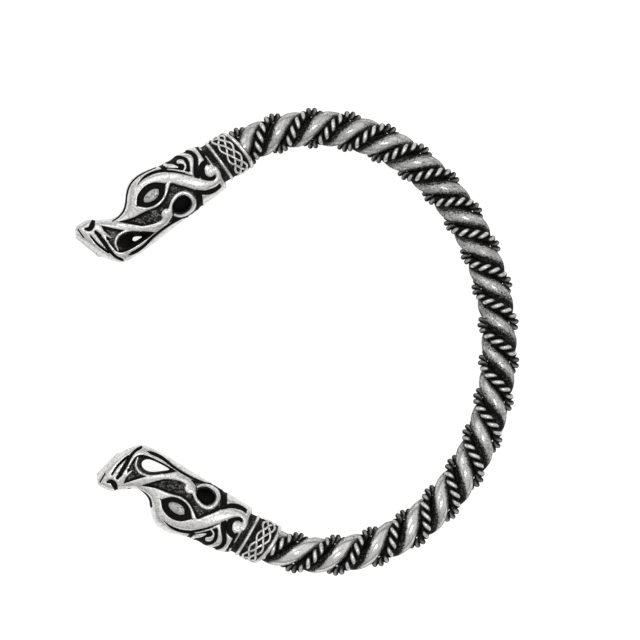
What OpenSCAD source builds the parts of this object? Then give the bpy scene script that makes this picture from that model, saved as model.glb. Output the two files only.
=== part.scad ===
// Arm ring of twisted silver rods and cables, open at one side between two cast animal heads.
// It lies on its side: the ring's plane is level, and the two heads are mirror images.

/* [Ring] */
// Width of the rope's oval across the wrist, between centre lines
oval_w = 57.2; // [52:0.1:70]
// Height of the rope's oval, between centre lines
oval_h = 68.4; // [62:0.1:82]
// Lean of the oval's long axis, degrees
oval_lean = 3.6; // [0:0.1:6]
// Where the rope enters the upper head, degrees round the oval from its closed side
upper_end = 112.9; // [104:0.1:120]
// Where the rope enters the lower head, degrees round the oval from its closed side
lower_end = 111.3; // [102:0.1:118]

/* [Rope] */
// Diameter of each of the two plain rods
rod_d = 2.8; // [2.2:0.05:3.2]
// Diameter of one wire; two of them twist into each cable
wire_d = 0.78; // [0.6:0.02:1]
// Gap left between strands that lie against each other
strand_gap = 0.06; // [0.04:0.01:0.12]
// Number of times the strands go round from head to head
rope_turns = 9.93; // [8:0.01:12]
// How much tighter the twist grows from the lower head to the upper one, as a share
twist_tighten = 0.14; // [0:0.01:0.3]
// Angle of the first rod where the rope leaves the lower head, degrees
twist_start = -32; // [-180:1:180]

/* [Collar] */
// Length of the collar along the head
collar_l = 5.45; // [4.8:0.05:6.5]
// Wall left round the socket
collar_wall = 0.36; // [0.3:0.01:0.8]
// Height of the two rims above the knotwork band
rim_h = 0.32; // [0.15:0.01:0.5]
// Depth of the socket that takes the rods
socket_depth = 2.2; // [1.6:0.1:3]
// Clearance between the rods and the socket
socket_gap = 0.14; // [0.08:0.01:0.25]
// Gap at the rods' ends and between the cables and the collar
end_gap = 0.1; // [0.05:0.01:0.2]
// Width of a knotwork strand
knot_w = 0.44; // [0.3:0.01:0.5]
// Half the sideways swing of a knotwork strand
knot_swing = 0.88; // [0.5:0.02:1]
// Number of crossings round the collar
knot_crossings = 10; // [6:2:14]

/* [Heads] */
// Length of a head from collar to muzzle
head_l = 29.9; // [26:0.1:34]
// Height of a head, from jaw to brow
head_h = 10.1; // [9.4:0.1:11.5]
// Thickness of a head across the cheeks
head_t = 7.84; // [7.6:0.02:9]
// Turn of the upper head outward from the rope's end, degrees
upper_turn = -0.5; // [-6:0.5:6]
// Turn of the lower head outward from the rope's end, degrees
lower_turn = -3.5; // [-6:0.5:6]
// Depth of the background below the cast relief, on the cheeks
relief_d = 0.42; // [0.25:0.01:0.6]
// Depth of the background where the relief reaches the outline
edge_relief_d = 0.12; // [0.08:0.01:0.16]
// Depth of the blind hole in each ear
ear_depth = 1.7; // [1:0.05:2.2]

/* [Hidden] */

rod_r = rod_d / 2;
cable_r = wire_d;
rings_per_turn = 9;

// The rods' centre lines are drawn with straight steps, which clear each other at their middles
rod_orbit = (rod_r + strand_gap / 2) / cos(180 / rings_per_turn);
tightest_bend = pow(oval_w / 2, 2) / (oval_h / 2);

// The rope's centre line, in the ring's plane round the oval's centre
small_angle = 0.05;
function unit(v) = v / norm(v);
function turned(p, a) = [p.x * cos(a) - p.y * sin(a), p.x * sin(a) + p.y * cos(a)];
function rope_point(t) = turned([oval_w / 2 * cos(t), oval_h / 2 * sin(t)], oval_lean);
function rope_step(t) = rope_point(t + small_angle) - rope_point(t - small_angle);
function rope_heading(t) = let (d = rope_step(t)) atan2(d.y, d.x);
function rope_out(t) = let (h = rope_heading(t)) [sin(h), -cos(h)];

// Places of the rings along the rope, from a little inside one head to a little inside the other
past_end = 6;
rope_sweep = upper_end + lower_end + 2 * past_end;
ring_count = round(rings_per_turn * rope_turns * rope_sweep / (upper_end + lower_end));
function ring_angle(i) = -lower_end - past_end + rope_sweep * i / ring_count;

// Length of rope up to each ring, counted from the lower head's mouth
runs = [for (i = 0, run = 0; i <= ring_count;
    run = run + norm(rope_point(ring_angle(i + 1)) - rope_point(ring_angle(i))), i = i + 1) run];
run_table = [for (i = [0:ring_count]) [i, runs[i]]];
lower_run = lookup(ring_count * past_end / rope_sweep, run_table);
upper_run = lookup(ring_count * (1 - past_end / rope_sweep), run_table);
rope_l = upper_run - lower_run;
twist_lead = rope_l / rope_turns;
function twist(run) = 360 / twist_lead * (run + twist_tighten * run / 2 * (run / rope_l - 1));

// Nearest distance between a rod and a cable that runs on an orbit of radius r: the cable lies a quarter
// turn ahead, and the nearest point of it is some degrees back along the twist. The rise is least where
// the twist is tightest, on the inner side of the bend.
back_step = 2;
back_most = 50;
function rise(r) = twist_lead / (1 + twist_tighten / 2) * (1 - r / tightest_bend) / 360;
function strand_distance(r) = min([for (back = [0:back_step:back_most])
    sqrt(pow(rod_orbit, 2) + pow(r, 2) - 2 * rod_orbit * r * sin(back) + pow(rise(r) * back, 2))]);

// Halving search for the orbit at which the cable just clears the rods
function orbit_between(low, high, steps) = let (middle = (low + high) / 2)
    steps == 0 ? middle
    : strand_distance(middle) < rod_r + cable_r + strand_gap ? orbit_between(middle, high, steps - 1)
    : orbit_between(low, middle, steps - 1);
search_steps = 20;
cable_orbit = orbit_between(cable_r, 2 * rod_d + cable_r, search_steps);
rope_r = cable_orbit + cable_r;

// Centres of one strand, which goes round the rope's line as it advances
function strand_centre(i, orbit, phase) = let (
        t = ring_angle(i), out = rope_out(t), p = rope_point(t),
        a = phase + twist_start + twist(runs[i] - lower_run))
    [p.x + orbit * cos(a) * out.x, p.y + orbit * cos(a) * out.y, orbit * sin(a)];
function strand_line(orbit, phase) = [for (i = [0:ring_count]) strand_centre(i, orbit, phase)];

// Which way a line points at one of its points, and a direction made square to another
function way(line, i) = unit(line[min(i + 1, len(line) - 1)] - line[max(i - 1, 0)]);
function square_to(v, d) = unit(v - (v * d) * d);

// Rings of a tube along a line. Each ring's first spoke is the last one's, turned as little as possible.
function tube_rings(line, r, sides) = let (
        spokes = [for (i = 0, spoke = square_to([1, 0, 0], way(line, 0)); i < len(line);
            i = i + 1, spoke = square_to(spoke, way(line, min(i, len(line) - 1)))) spoke])
    [for (i = [0:len(line) - 1]) let (other = cross(way(line, i), spokes[i]))
        [for (k = [0:sides - 1])
            line[i] + r * (cos(360 * k / sides) * spokes[i] + sin(360 * k / sides) * other)]];

// Skin over rings that all hold the same number of points, closed at both ends
module skin(rings) {
    sides = len(rings[0]);
    last = len(rings) - 1;
    polyhedron(
        points = [for (ring = rings) for (p = ring) p],
        faces = concat(
            [[for (k = [0:sides - 1]) k]],
            [[for (k = [sides - 1:-1:0]) last * sides + k]],
            [for (i = [0:last - 1]) for (k = [0:sides - 1]) let (n = (k + 1) % sides)
                [i * sides + k, (i + 1) * sides + k, (i + 1) * sides + n]],
            [for (i = [0:last - 1]) for (k = [0:sides - 1]) let (n = (k + 1) % sides)
                [i * sides + k, (i + 1) * sides + n, i * sides + n]]),
        convexity = 10);
}

// Half thickness of the whole ring, which sets the height of its middle plane
socket_r = rod_orbit + rod_r + socket_gap;
collar_r = socket_r + collar_wall;
middle_h = max(head_t / 2, collar_r + rim_h, rope_r);

// Sections of the collar: place of the outer and the inner edge as shares of the collar's length, and swell
// as a share of the rims' height. The collar's mouth slants.
OUTER = 0;
INNER = 1;
SWELL = 2;
COLLAR = [
    [0.21, -0.04, 0.2], [0.24, -0.01, 1], [0.31, 0.07, 1], [0.33, 0.09, 0],
    [0.74, 0.61, 0], [0.76, 0.63, 1], [0.83, 0.70, 1], [0.85, 0.73, 0.05], [1.00, 0.90, 0.15]];

// Sections of the head from the neck to the muzzle: place and height of the brow edge, place and height of
// the jaw edge, half thickness. Places are shares of the head's length, heights of the head's height.
BROW_X = 0;
BROW_Y = 1;
JAW_X = 2;
JAW_Y = 3;
HALF_T = 4;
HEAD = [
    [0.190, 0.386, 0.173, -0.422, 0.95], [0.257, 0.421, 0.257, -0.452, 0.98],
    [0.406, 0.421, 0.401, -0.498, 1.00], [0.471, 0.452, 0.460, -0.514, 1.00],
    [0.534, 0.483, 0.514, -0.530, 1.00], [0.592, 0.462, 0.567, -0.548, 0.96],
    [0.637, 0.375, 0.610, -0.565, 0.88], [0.674, 0.230, 0.642, -0.579, 0.80],
    [0.712, 0.125, 0.680, -0.587, 0.70], [0.765, 0.080, 0.716, -0.598, 0.67],
    [0.845, 0.175, 0.770, -0.611, 0.69], [0.918, 0.282, 0.824, -0.611, 0.67],
    [0.962, 0.282, 0.862, -0.580, 0.60], [0.992, 0.215, 0.901, -0.480, 0.44],
    [1.005, 0.140, 0.945, -0.330, 0.20]];

// A section is a rounded square laid between its two edges
section_sides = 12;
ROUND = 2;
FULL = 2.6;
function bulge(c, fullness) = sign(c) * pow(abs(c), 2 / fullness);
function section(upper_edge, lower_edge, half_t, fullness, share) = let (
        middle = (upper_edge + lower_edge) / 2,
        half = (upper_edge - lower_edge) / 2,
        reach = half * (1 - share * edge_relief_d / norm(half)),
        depth = half_t - min(share * relief_d, half_t / 2))
    [for (k = [0:section_sides - 1]) let (
            a = 360 * k / section_sides,
            in_plane = middle + reach * bulge(cos(a), fullness))
        [in_plane.x, in_plane.y, depth * bulge(sin(a), fullness)]];
function collar_section(row) = let (r = collar_r + rim_h * row[SWELL])
    section([row[OUTER] * collar_l, r], [row[INNER] * collar_l, -r], r, ROUND, 0);
function head_section(row, share) =
    section([row[BROW_X] * head_l, row[BROW_Y] * head_h], [row[JAW_X] * head_l, row[JAW_Y] * head_h],
        row[HALF_T] * head_t / 2, FULL, share);

// All sections of the raised surface, or with a share of 1 those of the background
RAISED = 0;
BACKGROUND = 1;
function head_rings(share) = concat([for (row = COLLAR) collar_section(row)],
    [for (row = HEAD) head_section(row, share)]);

// The relief, drawn from the side. A point of a stroke is a place along the head as a share of its length,
// a height as a share of the head's height, and half a width as a share of the head's height.
ALONG = 0;
HEIGHT = 1;
HALF_W = 2;
stroke_sides = 6;
function drawn(p) = [p[ALONG] * head_l, p[HEIGHT] * head_h];
module dab(p) { translate(drawn(p)) circle(r = p[HALF_W] * head_h, $fn = stroke_sides); }
module stroke(points) {
    for (i = [0:len(points) - 2]) hull() {
        dab(points[i]);
        dab(points[i + 1]);
    }
}
module field(points) { polygon([for (p = points) drawn(p)]); }

// Sunk places of the relief
NECK_ARC = [[0.268, 0.420, 0.024], [0.240, 0.330, 0.030], [0.233, 0.225, 0.032],
    [0.259, 0.075, 0.034], [0.280, -0.070, 0.040]];
CREST_FIELD = [[0.375, 0.390], [0.322, 0.382], [0.286, 0.330], [0.279, 0.170],
    [0.302, 0.070], [0.369, 0.215], [0.404, 0.277], [0.423, 0.395]];
VOLUTE_CHANNEL = [[0.180, 0.033, 0.025], [0.213, 0.060, 0.034],
    [0.247, -0.045, 0.040], [0.254, -0.145, 0.042], [0.233, -0.238, 0.036], [0.197, -0.235, 0.021]];
BROW_GROOVE = [[0.561, 0.333, 0.013], [0.495, 0.374, 0.025], [0.428, 0.322, 0.025],
    [0.398, 0.262, 0.030]];
CHEEK_GROOVE = [[0.321, -0.243, 0.021], [0.283, -0.337, 0.035], [0.237, -0.365, 0.033],
    [0.191, -0.337, 0.030], [0.164, -0.262, 0.024]];
EYE_SOCKET = [[0.630, 0.050], [0.600, 0.165], [0.545, 0.235], [0.490, 0.225], [0.441, 0.111],
    [0.480, -0.040], [0.530, -0.090], [0.585, -0.060]];
LOWER_FIELD = [[0.759, -0.016], [0.684, -0.095], [0.556, -0.159], [0.497, -0.132],
    [0.417, 0.051], [0.342, -0.159], [0.321, -0.254], [0.326, -0.349], [0.342, -0.444], [0.385, -0.470],
    [0.524, -0.444], [0.567, -0.429], [0.631, -0.349], [0.695, -0.190]];
MOUTH_FIELD = [[0.848, 0.056], [0.802, -0.071], [0.711, -0.286], [0.663, -0.381],
    [0.628, -0.468], [0.663, -0.500], [0.791, -0.508], [0.834, -0.460], [0.864, -0.206],
    [0.845, -0.127]];
LIP_GAP = [[0.893, 0.016, 0.019], [0.882, -0.127, 0.037], [0.880, -0.300, 0.029],
    [0.853, -0.540, 0.019]];
NOSTRIL = [[0.937, 0.130, 0.014], [0.912, 0.095, 0.028], [0.876, 0.179, 0.019]];

// Raised strokes that stand in the sunk places
BROW = [[0.578, 0.270, 0.024], [0.519, 0.302, 0.044], [0.450, 0.250, 0.070],
    [0.374, 0.087, 0.087], [0.309, -0.110, 0.090], [0.251, -0.246, 0.071],
    [0.216, -0.268, 0.057], [0.180, -0.230, 0.046], [0.168, -0.140, 0.040], [0.190, -0.035, 0.036]];
BROW_KNOB = [0.206, -0.095, 0.075];
EYEBALL = [[0.587, 0.048], [0.565, 0.115], [0.532, 0.151], [0.500, 0.145], [0.481, 0.106],
    [0.500, 0.020], [0.537, -0.016], [0.570, 0.005]];
LOWER_LID = [[0.615, -0.095, 0.019], [0.561, -0.133, 0.019], [0.500, -0.108, 0.019],
    [0.455, -0.032, 0.021], [0.420, 0.071, 0.024]];
LIP = [[0.845, 0.087, 0.019], [0.797, -0.029, 0.029], [0.751, -0.132, 0.032], [0.680, -0.285, 0.038],
    [0.599, -0.384, 0.044], [0.519, -0.349, 0.063]];
LIP_KNOB = [0.516, -0.306, 0.083];
EAR_LOOP = [[0.481, -0.262, 0.024], [0.445, -0.172, 0.029], [0.395, -0.155, 0.031],
    [0.360, -0.270, 0.032], [0.363, -0.395, 0.030], [0.400, -0.460, 0.027],
    [0.460, -0.450, 0.020], [0.487, -0.389, 0.016]];
TOOTH = [[0.877, 0.048, 0.032], [0.858, -0.048, 0.030], [0.837, -0.167, 0.013]];
JAW_STRAP = [[0.866, -0.175, 0.014], [0.863, -0.317, 0.022], [0.853, -0.452, 0.024],
    [0.832, -0.556, 0.024]];
CREST_LEAF = [[0.393, 0.390, 0.026], [0.365, 0.314, 0.032], [0.337, 0.244, 0.014]];

// The mouth is pierced, and the ear has a blind hole
MOUTH_HOLE = [[0.840, -0.333], [0.818, -0.246], [0.775, -0.230], [0.727, -0.270], [0.679, -0.365],
    [0.639, -0.444], [0.684, -0.476], [0.749, -0.476], [0.802, -0.460], [0.832, -0.413]];
EAR_HOLE = [0.424, -0.313];
ear_hole_l = 2.8;
ear_hole_h = 2.0;
ear_sides = 12;
module ear_hole() { resize([ear_hole_l, ear_hole_h]) circle($fn = ear_sides); }

module sunk() {
    for (points = [NECK_ARC, VOLUTE_CHANNEL, BROW_GROOVE, CHEEK_GROOVE, LIP_GAP, NOSTRIL]) stroke(points);
    for (points = [CREST_FIELD, EYE_SOCKET, LOWER_FIELD, MOUTH_FIELD]) field(points);
}
module raised() {
    for (points = [BROW, LOWER_LID, LIP, EAR_LOOP, TOOTH, JAW_STRAP, CREST_LEAF]) stroke(points);
    field(EYEBALL);
    dab(BROW_KNOB);
    dab(LIP_KNOB);
}
relief_start = 0.15;
module relief() {
    difference() {
        translate([collar_l + relief_start, -head_h]) square([head_l, 2 * head_h]);
        difference() {
            sunk();
            raised();
        }
    }
}

// One strand of the collar's knotwork: a closed band with a pointed top that swings from rim to rim
knot_steps = 2 * knot_crossings;
knot_sink = 0.1;
knot_top = 0.85;
band_start = COLLAR[3];
band_end = COLLAR[4];
function band_share(a, edge_a, edge_b) = let (
        outer = (edge_a[OUTER] + edge_b[OUTER]) / 2,
        inner = (edge_a[INNER] + edge_b[INNER]) / 2)
    collar_l * ((outer + inner) / 2 + (outer - inner) / 2 * cos(a));
function knot_ring(k, side) = let (
        a = 360 * k / knot_steps,
        x = band_share(a, band_start, band_end) + side * knot_swing * sin(knot_crossings / 2 * a),
        low = collar_r - knot_sink,
        high = collar_r + rim_h * knot_top)
    [for (p = [[-knot_w / 2, low], [0, high], [knot_w / 2, low]])
        [x + p.x, p.y * cos(a), p.y * sin(a)]];
module knot_strand(side) {
    rings = [for (k = [0:knot_steps - 1]) knot_ring(k, side)];
    sides = len(rings[0]);
    polyhedron(
        points = [for (ring = rings) for (p = ring) p],
        faces = [for (i = [0:knot_steps - 1]) for (k = [0:sides - 1])
            let (j = (i + 1) % knot_steps, n = (k + 1) % sides)
            [i * sides + k, i * sides + n, j * sides + n, j * sides + k]],
        convexity = 10);
}

// Where the rope's line meets the middle of the collar's mouth, in the head's own frame
mouth_x = collar_l * (COLLAR[0][OUTER] + COLLAR[0][INNER]) / 2;
mouth_slant = atan2(collar_l * (COLLAR[0][OUTER] - COLLAR[0][INNER]), 2 * collar_r);

// A head in its own frame: x from collar to muzzle, y to the brow, z across. The rope comes in turned by
// some degrees, so the socket is drilled along the rope.
socket_sides = 20;
module head_form(rope_turn) {
    difference() {
        union() {
            skin(head_rings(BACKGROUND));
            intersection() {
                skin(head_rings(RAISED));
                translate([0, 0, -head_t]) linear_extrude(2 * head_t) relief();
            }
            knot_strand(1);
            knot_strand(-1);
        }
        translate([mouth_x, 0, 0]) rotate([0, 90, rope_turn])
            translate([0, 0, -collar_l]) cylinder(r = socket_r, h = collar_l + socket_depth, $fn = socket_sides);
        translate([0, 0, -head_t]) linear_extrude(2 * head_t) field(MOUTH_HOLE);
        for (side = [0, 1]) mirror([0, 0, side])
            translate([EAR_HOLE.x * head_l, EAR_HOLE.y * head_h, head_t / 2 - ear_depth])
                linear_extrude(head_t) ear_hole();
    }
}

// Where the two ends of the rope lie, and which way they point there
upper_mouth = rope_point(upper_end);
lower_mouth = rope_point(-lower_end);
upper_way = rope_heading(upper_end);
lower_way = rope_heading(-lower_end) + 180;

// The ring's box, from the outlines of the heads and of the strands, so that it stands centred
function upper_place(p) = upper_mouth + turned([p.x - mouth_x, -p.y], upper_way - upper_turn);
function lower_place(p) = lower_mouth + turned([p.x - mouth_x, p.y], lower_way + lower_turn);
head_spots = [for (ring = head_rings(RAISED)) for (p = ring) p];

// The four strands: orbit, place round the rope in degrees, radius and number of sides
ORBIT = 0;
PHASE = 1;
RADIUS = 2;
SIDES = 3;
ROD_A = [rod_orbit, 0, rod_r, 9];
ROD_B = [rod_orbit, 180, rod_r, 9];
CABLE_A = [cable_orbit, 90, cable_r, 8];
CABLE_B = [cable_orbit, 270, cable_r, 8];
function strand_rings(s) = tube_rings(strand_line(s[ORBIT], s[PHASE]), s[RADIUS], s[SIDES]);
spots = concat(
    [for (p = head_spots) upper_place(p)], [for (p = head_spots) lower_place(p)],
    [for (s = [ROD_A, ROD_B, CABLE_A, CABLE_B]) for (ring = strand_rings(s)) for (p = ring)
        [p.x, p.y]]);
xs = [for (p = spots) p.x];
ys = [for (p = spots) p.y];
centre = [(min(xs) + max(xs)) / 2, (min(ys) + max(ys)) / 2, -middle_h];

// Frames at the two mouths: x goes into the head along the rope
module at_upper() {
    translate([upper_mouth.x, upper_mouth.y, 0]) rotate(upper_way) mirror([0, 1, 0]) children();
}
module at_lower() {
    translate([lower_mouth.x, lower_mouth.y, 0]) rotate(lower_way) children();
}

// A strand cut off at both heads, at some depth into the collar's mouth. A cable's cut slants with the mouth.
module strand(s, cut_at, upper_slant = 0, lower_slant = 0) {
    reach = 2 * rope_r;
    translate(-centre) difference() {
        skin(strand_rings(s));
        at_upper() rotate(upper_slant) translate([cut_at, -reach, -reach]) cube(2 * reach);
        at_lower() rotate(lower_slant) translate([cut_at, -reach, -reach]) cube(2 * reach);
    }
}
module rod(s) {
    color("silver") strand(s, socket_depth - end_gap);
}
module cable(s) {
    color("gray") strand(s, -end_gap, upper_turn - mouth_slant, lower_turn - mouth_slant);
}

module upper_head() {
    color("gainsboro") translate(-centre) at_upper() rotate(upper_turn) translate([-mouth_x, 0, 0])
        head_form(-upper_turn);
}
module lower_head() {
    color("gainsboro") translate(-centre) at_lower() rotate(lower_turn) translate([-mouth_x, 0, 0])
        head_form(-lower_turn);
}
module rod_a() { rod(ROD_A); }
module rod_b() { rod(ROD_B); }
module cable_a() { cable(CABLE_A); }
module cable_b() { cable(CABLE_B); }

upper_head();
lower_head();
rod_a();
rod_b();
cable_a();
cable_b();
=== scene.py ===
"""Looks of an arm ring: twisted silver rods, wire cables and two cast animal heads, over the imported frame.

All shapes are worked out in millimetres and put into their meshes in metres.
"""

from __future__ import annotations

import logging
import math
from dataclasses import dataclass, field
from enum import Enum
from typing import Any

import bpy
import numpy as np
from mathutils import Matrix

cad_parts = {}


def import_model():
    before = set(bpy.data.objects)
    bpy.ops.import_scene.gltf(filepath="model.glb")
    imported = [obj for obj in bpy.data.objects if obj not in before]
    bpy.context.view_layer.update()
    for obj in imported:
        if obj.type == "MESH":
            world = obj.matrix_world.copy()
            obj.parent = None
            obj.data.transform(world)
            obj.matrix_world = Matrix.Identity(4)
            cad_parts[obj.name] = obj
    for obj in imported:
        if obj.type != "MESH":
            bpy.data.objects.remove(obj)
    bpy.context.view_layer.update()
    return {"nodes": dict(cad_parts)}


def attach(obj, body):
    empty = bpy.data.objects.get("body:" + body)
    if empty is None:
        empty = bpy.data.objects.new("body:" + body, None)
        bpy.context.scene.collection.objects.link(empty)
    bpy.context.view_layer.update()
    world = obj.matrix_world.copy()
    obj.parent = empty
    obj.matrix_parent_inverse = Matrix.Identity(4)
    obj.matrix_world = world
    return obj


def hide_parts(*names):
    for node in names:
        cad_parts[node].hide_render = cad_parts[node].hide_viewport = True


log = logging.getLogger("arm_ring")

Array = np.ndarray
Point = tuple[float, ...]
Rows = tuple[Point, ...]
# The two values between which a share rises from 0 to 1
Step = tuple[float, float]
MM = 0.001
TINY = 1e-12
NOISE_MEAN = 0.5
# The polish attribute holds real polish and patina, and also painted shade and painted light from the rods,
# wires and heads
POLISH_AND_SHADE = "polish"
STRAIGHT = "straightened"


# Numbers and curves


def smoothstep(low: float, high: float, value: Array) -> Array:
    """A soft step from 0 at low to 1 at high: 3 s squared less 2 s cubed, with s the share of the way."""
    share = np.clip((value - low) / (high - low), 0.0, 1.0)
    return share * share * (3.0 - 2.0 * share)


def at_least(floor: float, share: Array) -> Array:
    """Shares from 0 to 1, brought into the room between a floor and 1."""
    return floor + (1 - floor) * share


def smooth_curve(points: Any, steps: int, closed: bool = False) -> Array:
    """Draws a smooth curve through points, with all their columns.

    Between two points the curve is the cubic whose slope at each is half the way from the point before
    to the point after, the Catmull-Rom rule.

    Args:
        points: Rows of the points to pass through, any number of columns.
        steps: Number of pieces that each stretch is cut into.
        closed: Whether the last point joins the first.

    Returns:
        Rows along the curve, the last point included where it is open.
    """
    given = np.asarray(points, float)
    if closed:
        ring = np.vstack([given[-1:], given, given[:2]])
    else:
        ring = np.vstack([2 * given[0] - given[1], given, 2 * given[-1] - given[-2]])
    share = np.linspace(0.0, 1.0, steps, endpoint=False)[None, :, None]
    before, start, end, after = (ring[i : len(ring) - 3 + i][:, None, :] for i in range(4))
    curve = 0.5 * (
        2 * start
        + (end - before) * share
        + (2 * before - 5 * start + 4 * end - after) * share**2
        + (3 * start - before - 3 * end + after) * share**3
    )
    curve = curve.reshape(-1, given.shape[1])
    return curve if closed else np.vstack([curve, given[-1:]])


def steady_rows(places: Array, values: Array, wanted: Array) -> Array:
    """Interpolates columns of values without overshoot.

    A cubic between two rows takes at each the harmonic mean of the slopes on its two sides, or no slope
    where they differ in sign.

    Args:
        places: Rising places of the rows.
        values: Rows of values at those places.
        wanted: Places at which values are wanted.

    Returns:
        One row of values for each wanted place.
    """
    gaps = np.diff(places)[:, None]
    rises = np.diff(values, axis=0) / gaps
    both = rises[:-1] * rises[1:]
    inner = np.where(both > 0, 2 * both / np.where(both > 0, rises[:-1] + rises[1:], 1.0), 0.0)
    slopes = np.vstack([rises[:1], inner, rises[-1:]])
    at = np.clip(np.searchsorted(places, wanted, side="right") - 1, 0, len(places) - 2)
    gap = gaps[at]
    share = (wanted[:, None] - places[at][:, None]) / gap
    return (
        (1 + 2 * share) * (1 - share) ** 2 * values[at]
        + share * (1 - share) ** 2 * gap * slopes[at]
        + share**2 * (3 - 2 * share) * values[at + 1]
        + share**2 * (share - 1) * gap * slopes[at + 1]
    )


def unit_rows(rows: Array) -> Array:
    """Each row divided by its own length."""
    return rows / np.linalg.norm(rows, axis=-1, keepdims=True)


def square_to(ahead: Array, rows: Array) -> Array:
    """Each row less its part along the direction ahead, made one long."""
    return unit_rows(rows - np.sum(rows * ahead, axis=1, keepdims=True) * ahead)


def run_lengths(points: Array) -> Array:
    """Length of a line of points up to each of them."""
    return np.concatenate([[0.0], np.cumsum(np.linalg.norm(np.diff(points, axis=0), axis=1))])


def turned(points: Array, angle: float) -> Array:
    """Turns points about z.

    Args:
        points: Places in two or three coordinates, of which the third stays as it is.
        angle: The turn in degrees.

    Returns:
        The turned places.
    """
    sine, cosine = math.sin(math.radians(angle)), math.cos(math.radians(angle))
    out = points.copy()
    out[..., 0] = points[..., 0] * cosine - points[..., 1] * sine
    out[..., 1] = points[..., 0] * sine + points[..., 1] * cosine
    return out


def segment_shares(spots: Array, start: Array, end: Array) -> tuple[Array, Array]:
    """Finds the point of a segment that is nearest to each spot.

    Args:
        spots: Places in the plane.
        start: The segment's first end.
        end: Its last end.

    Returns:
        How far along the segment the nearest points lie, from 0 to 1, and their distances.
    """
    way = end - start
    share = np.clip((spots - start) @ way / max(float(way @ way), TINY), 0.0, 1.0)
    return share, np.linalg.norm(spots - start - share[:, None] * way, axis=1)


def stroke_distance(spots: Array, stroke: Array) -> Array:
    """Distance from spots to the edge of a stroke, negative inside it.

    Each segment is a capsule whose half width runs evenly from one end's to the other's: the distance is
    that to the middle line less the half width there, and the least one over all the segments counts.

    Args:
        spots: Places in the plane.
        stroke: Rows of place along, height and half width.

    Returns:
        One distance for each spot.
    """
    nearest = np.full(len(spots), np.inf)
    for a, b in zip(stroke[:-1], stroke[1:]):
        share, distance = segment_shares(spots, a[:2], b[:2])
        nearest = np.minimum(nearest, distance - a[2] - share * (b[2] - a[2]))
    return nearest


def field_distance(spots: Array, outline: Array) -> Array:
    """Distance from spots to a closed outline, negative inside it.

    A spot is inside where a line from it towards x crosses the outline an odd number of times.

    Args:
        spots: Places in the plane.
        outline: Rows of the outline's corners.

    Returns:
        One distance for each spot.
    """
    nearest = np.full(len(spots), np.inf)
    inside = np.zeros(len(spots), bool)
    for a, b in zip(outline, np.roll(outline, -1, axis=0)):
        nearest = np.minimum(nearest, segment_shares(spots, a, b)[1])
        if a[1] != b[1]:
            spans = (a[1] > spots[:, 1]) != (b[1] > spots[:, 1])
            inside ^= spans & (spots[:, 0] < a[0] + (spots[:, 1] - a[1]) * (b[0] - a[0]) / (b[1] - a[1]))
    return np.where(inside, -nearest, nearest)


# Meshes


def mesh_of(name: str, points: Array, corners: Array, sizes: Array) -> bpy.types.Mesh:
    """Puts points and faces into a new smooth mesh.

    Args:
        name: Name of the mesh.
        points: Rows of places.
        corners: Point numbers of all faces, one face after another.
        sizes: Number of corners of each face.

    Returns:
        The mesh.
    """
    mesh = bpy.data.meshes.new(name)
    mesh.vertices.add(len(points))
    mesh.vertices.foreach_set("co", np.ascontiguousarray(points, np.float32).ravel())
    mesh.loops.add(len(corners))
    mesh.loops.foreach_set("vertex_index", corners.astype(np.int32))
    mesh.polygons.add(len(sizes))
    starts = np.concatenate([[0], np.cumsum(sizes)[:-1]])
    mesh.polygons.foreach_set("loop_start", starts.astype(np.int32))
    mesh.update(calc_edges=True)
    mesh.validate()
    mesh.polygons.foreach_set("use_smooth", np.ones(len(mesh.polygons), bool))
    return mesh


def tube_faces(rows: int, columns: int, ends_closed: bool = True) -> tuple[Array, Array]:
    """Faces of a grid of rings: four corners between each two neighbours, and a flat face at each end.

    Args:
        rows: Number of rings.
        columns: Number of points in a ring.
        ends_closed: False where the last ring joins the first one.

    Returns:
        The corners of all faces, and the number of corners of each.
    """
    numbers = np.arange(rows * columns).reshape(rows, columns)
    here = numbers[:-1] if ends_closed else numbers
    there = numbers[1:] if ends_closed else np.roll(numbers, -1, axis=0)
    quads = np.stack([here, np.roll(here, -1, 1), np.roll(there, -1, 1), there], axis=-1).reshape(-1, 4)
    sizes = np.full(len(quads), 4)
    if not ends_closed:
        return quads.ravel(), sizes
    corners = np.concatenate([quads.ravel(), numbers[0][::-1], numbers[-1]])
    return corners, np.concatenate([sizes, [columns, columns]])


def ring_points(centres: Array, spokes: Array, others: Array, wide: Array, high: Array, sides: int) -> Array:
    """Rings of a tube: centre + wide cos(a) spoke + high sin(a) other, for angles a evenly round.

    Args:
        centres: Middle of each ring.
        spokes: Direction in which a ring is wide.
        others: Direction in which a ring is high.
        wide: Half width of each ring.
        high: Half height of each ring.
        sides: Number of points in a ring.

    Returns:
        An array of rings, points and coordinates.
    """
    angle = np.linspace(0, 2 * np.pi, sides, endpoint=False)
    cosine = np.cos(angle)[None, :, None]
    sine = np.sin(angle)[None, :, None]
    return (
        centres[:, None]
        + cosine * wide[:, None, None] * spokes[:, None]
        + sine * high[:, None, None] * others[:, None]
    )


def read_values(items: Any, name: str, kind: type = np.float32) -> Array:
    """Reads one value of each item of a mesh, such as a face's number of corners."""
    values = np.empty(len(items), kind)
    items.foreach_get(name, values)
    return values


def read_rows(items: Any, name: str) -> Array:
    """Reads three coordinates of each item of a mesh, such as a face's normal."""
    values = np.empty(3 * len(items), np.float32)
    items.foreach_get(name, values)
    return values.reshape(-1, 3).astype(float)


def corner_points(mesh: bpy.types.Mesh) -> Array:
    """The point number of each face corner of a mesh."""
    return read_values(mesh.loops, "vertex_index", np.int32)


def mesh_places(mesh: bpy.types.Mesh) -> Array:
    """Rows of the places of a mesh's points."""
    return read_rows(mesh.vertices, "co")


def move_mesh(mesh: bpy.types.Mesh, places: Array) -> None:
    """Gives a mesh's points new places."""
    mesh.vertices.foreach_set("co", np.ascontiguousarray(places, np.float32).ravel())
    mesh.update()


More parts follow.
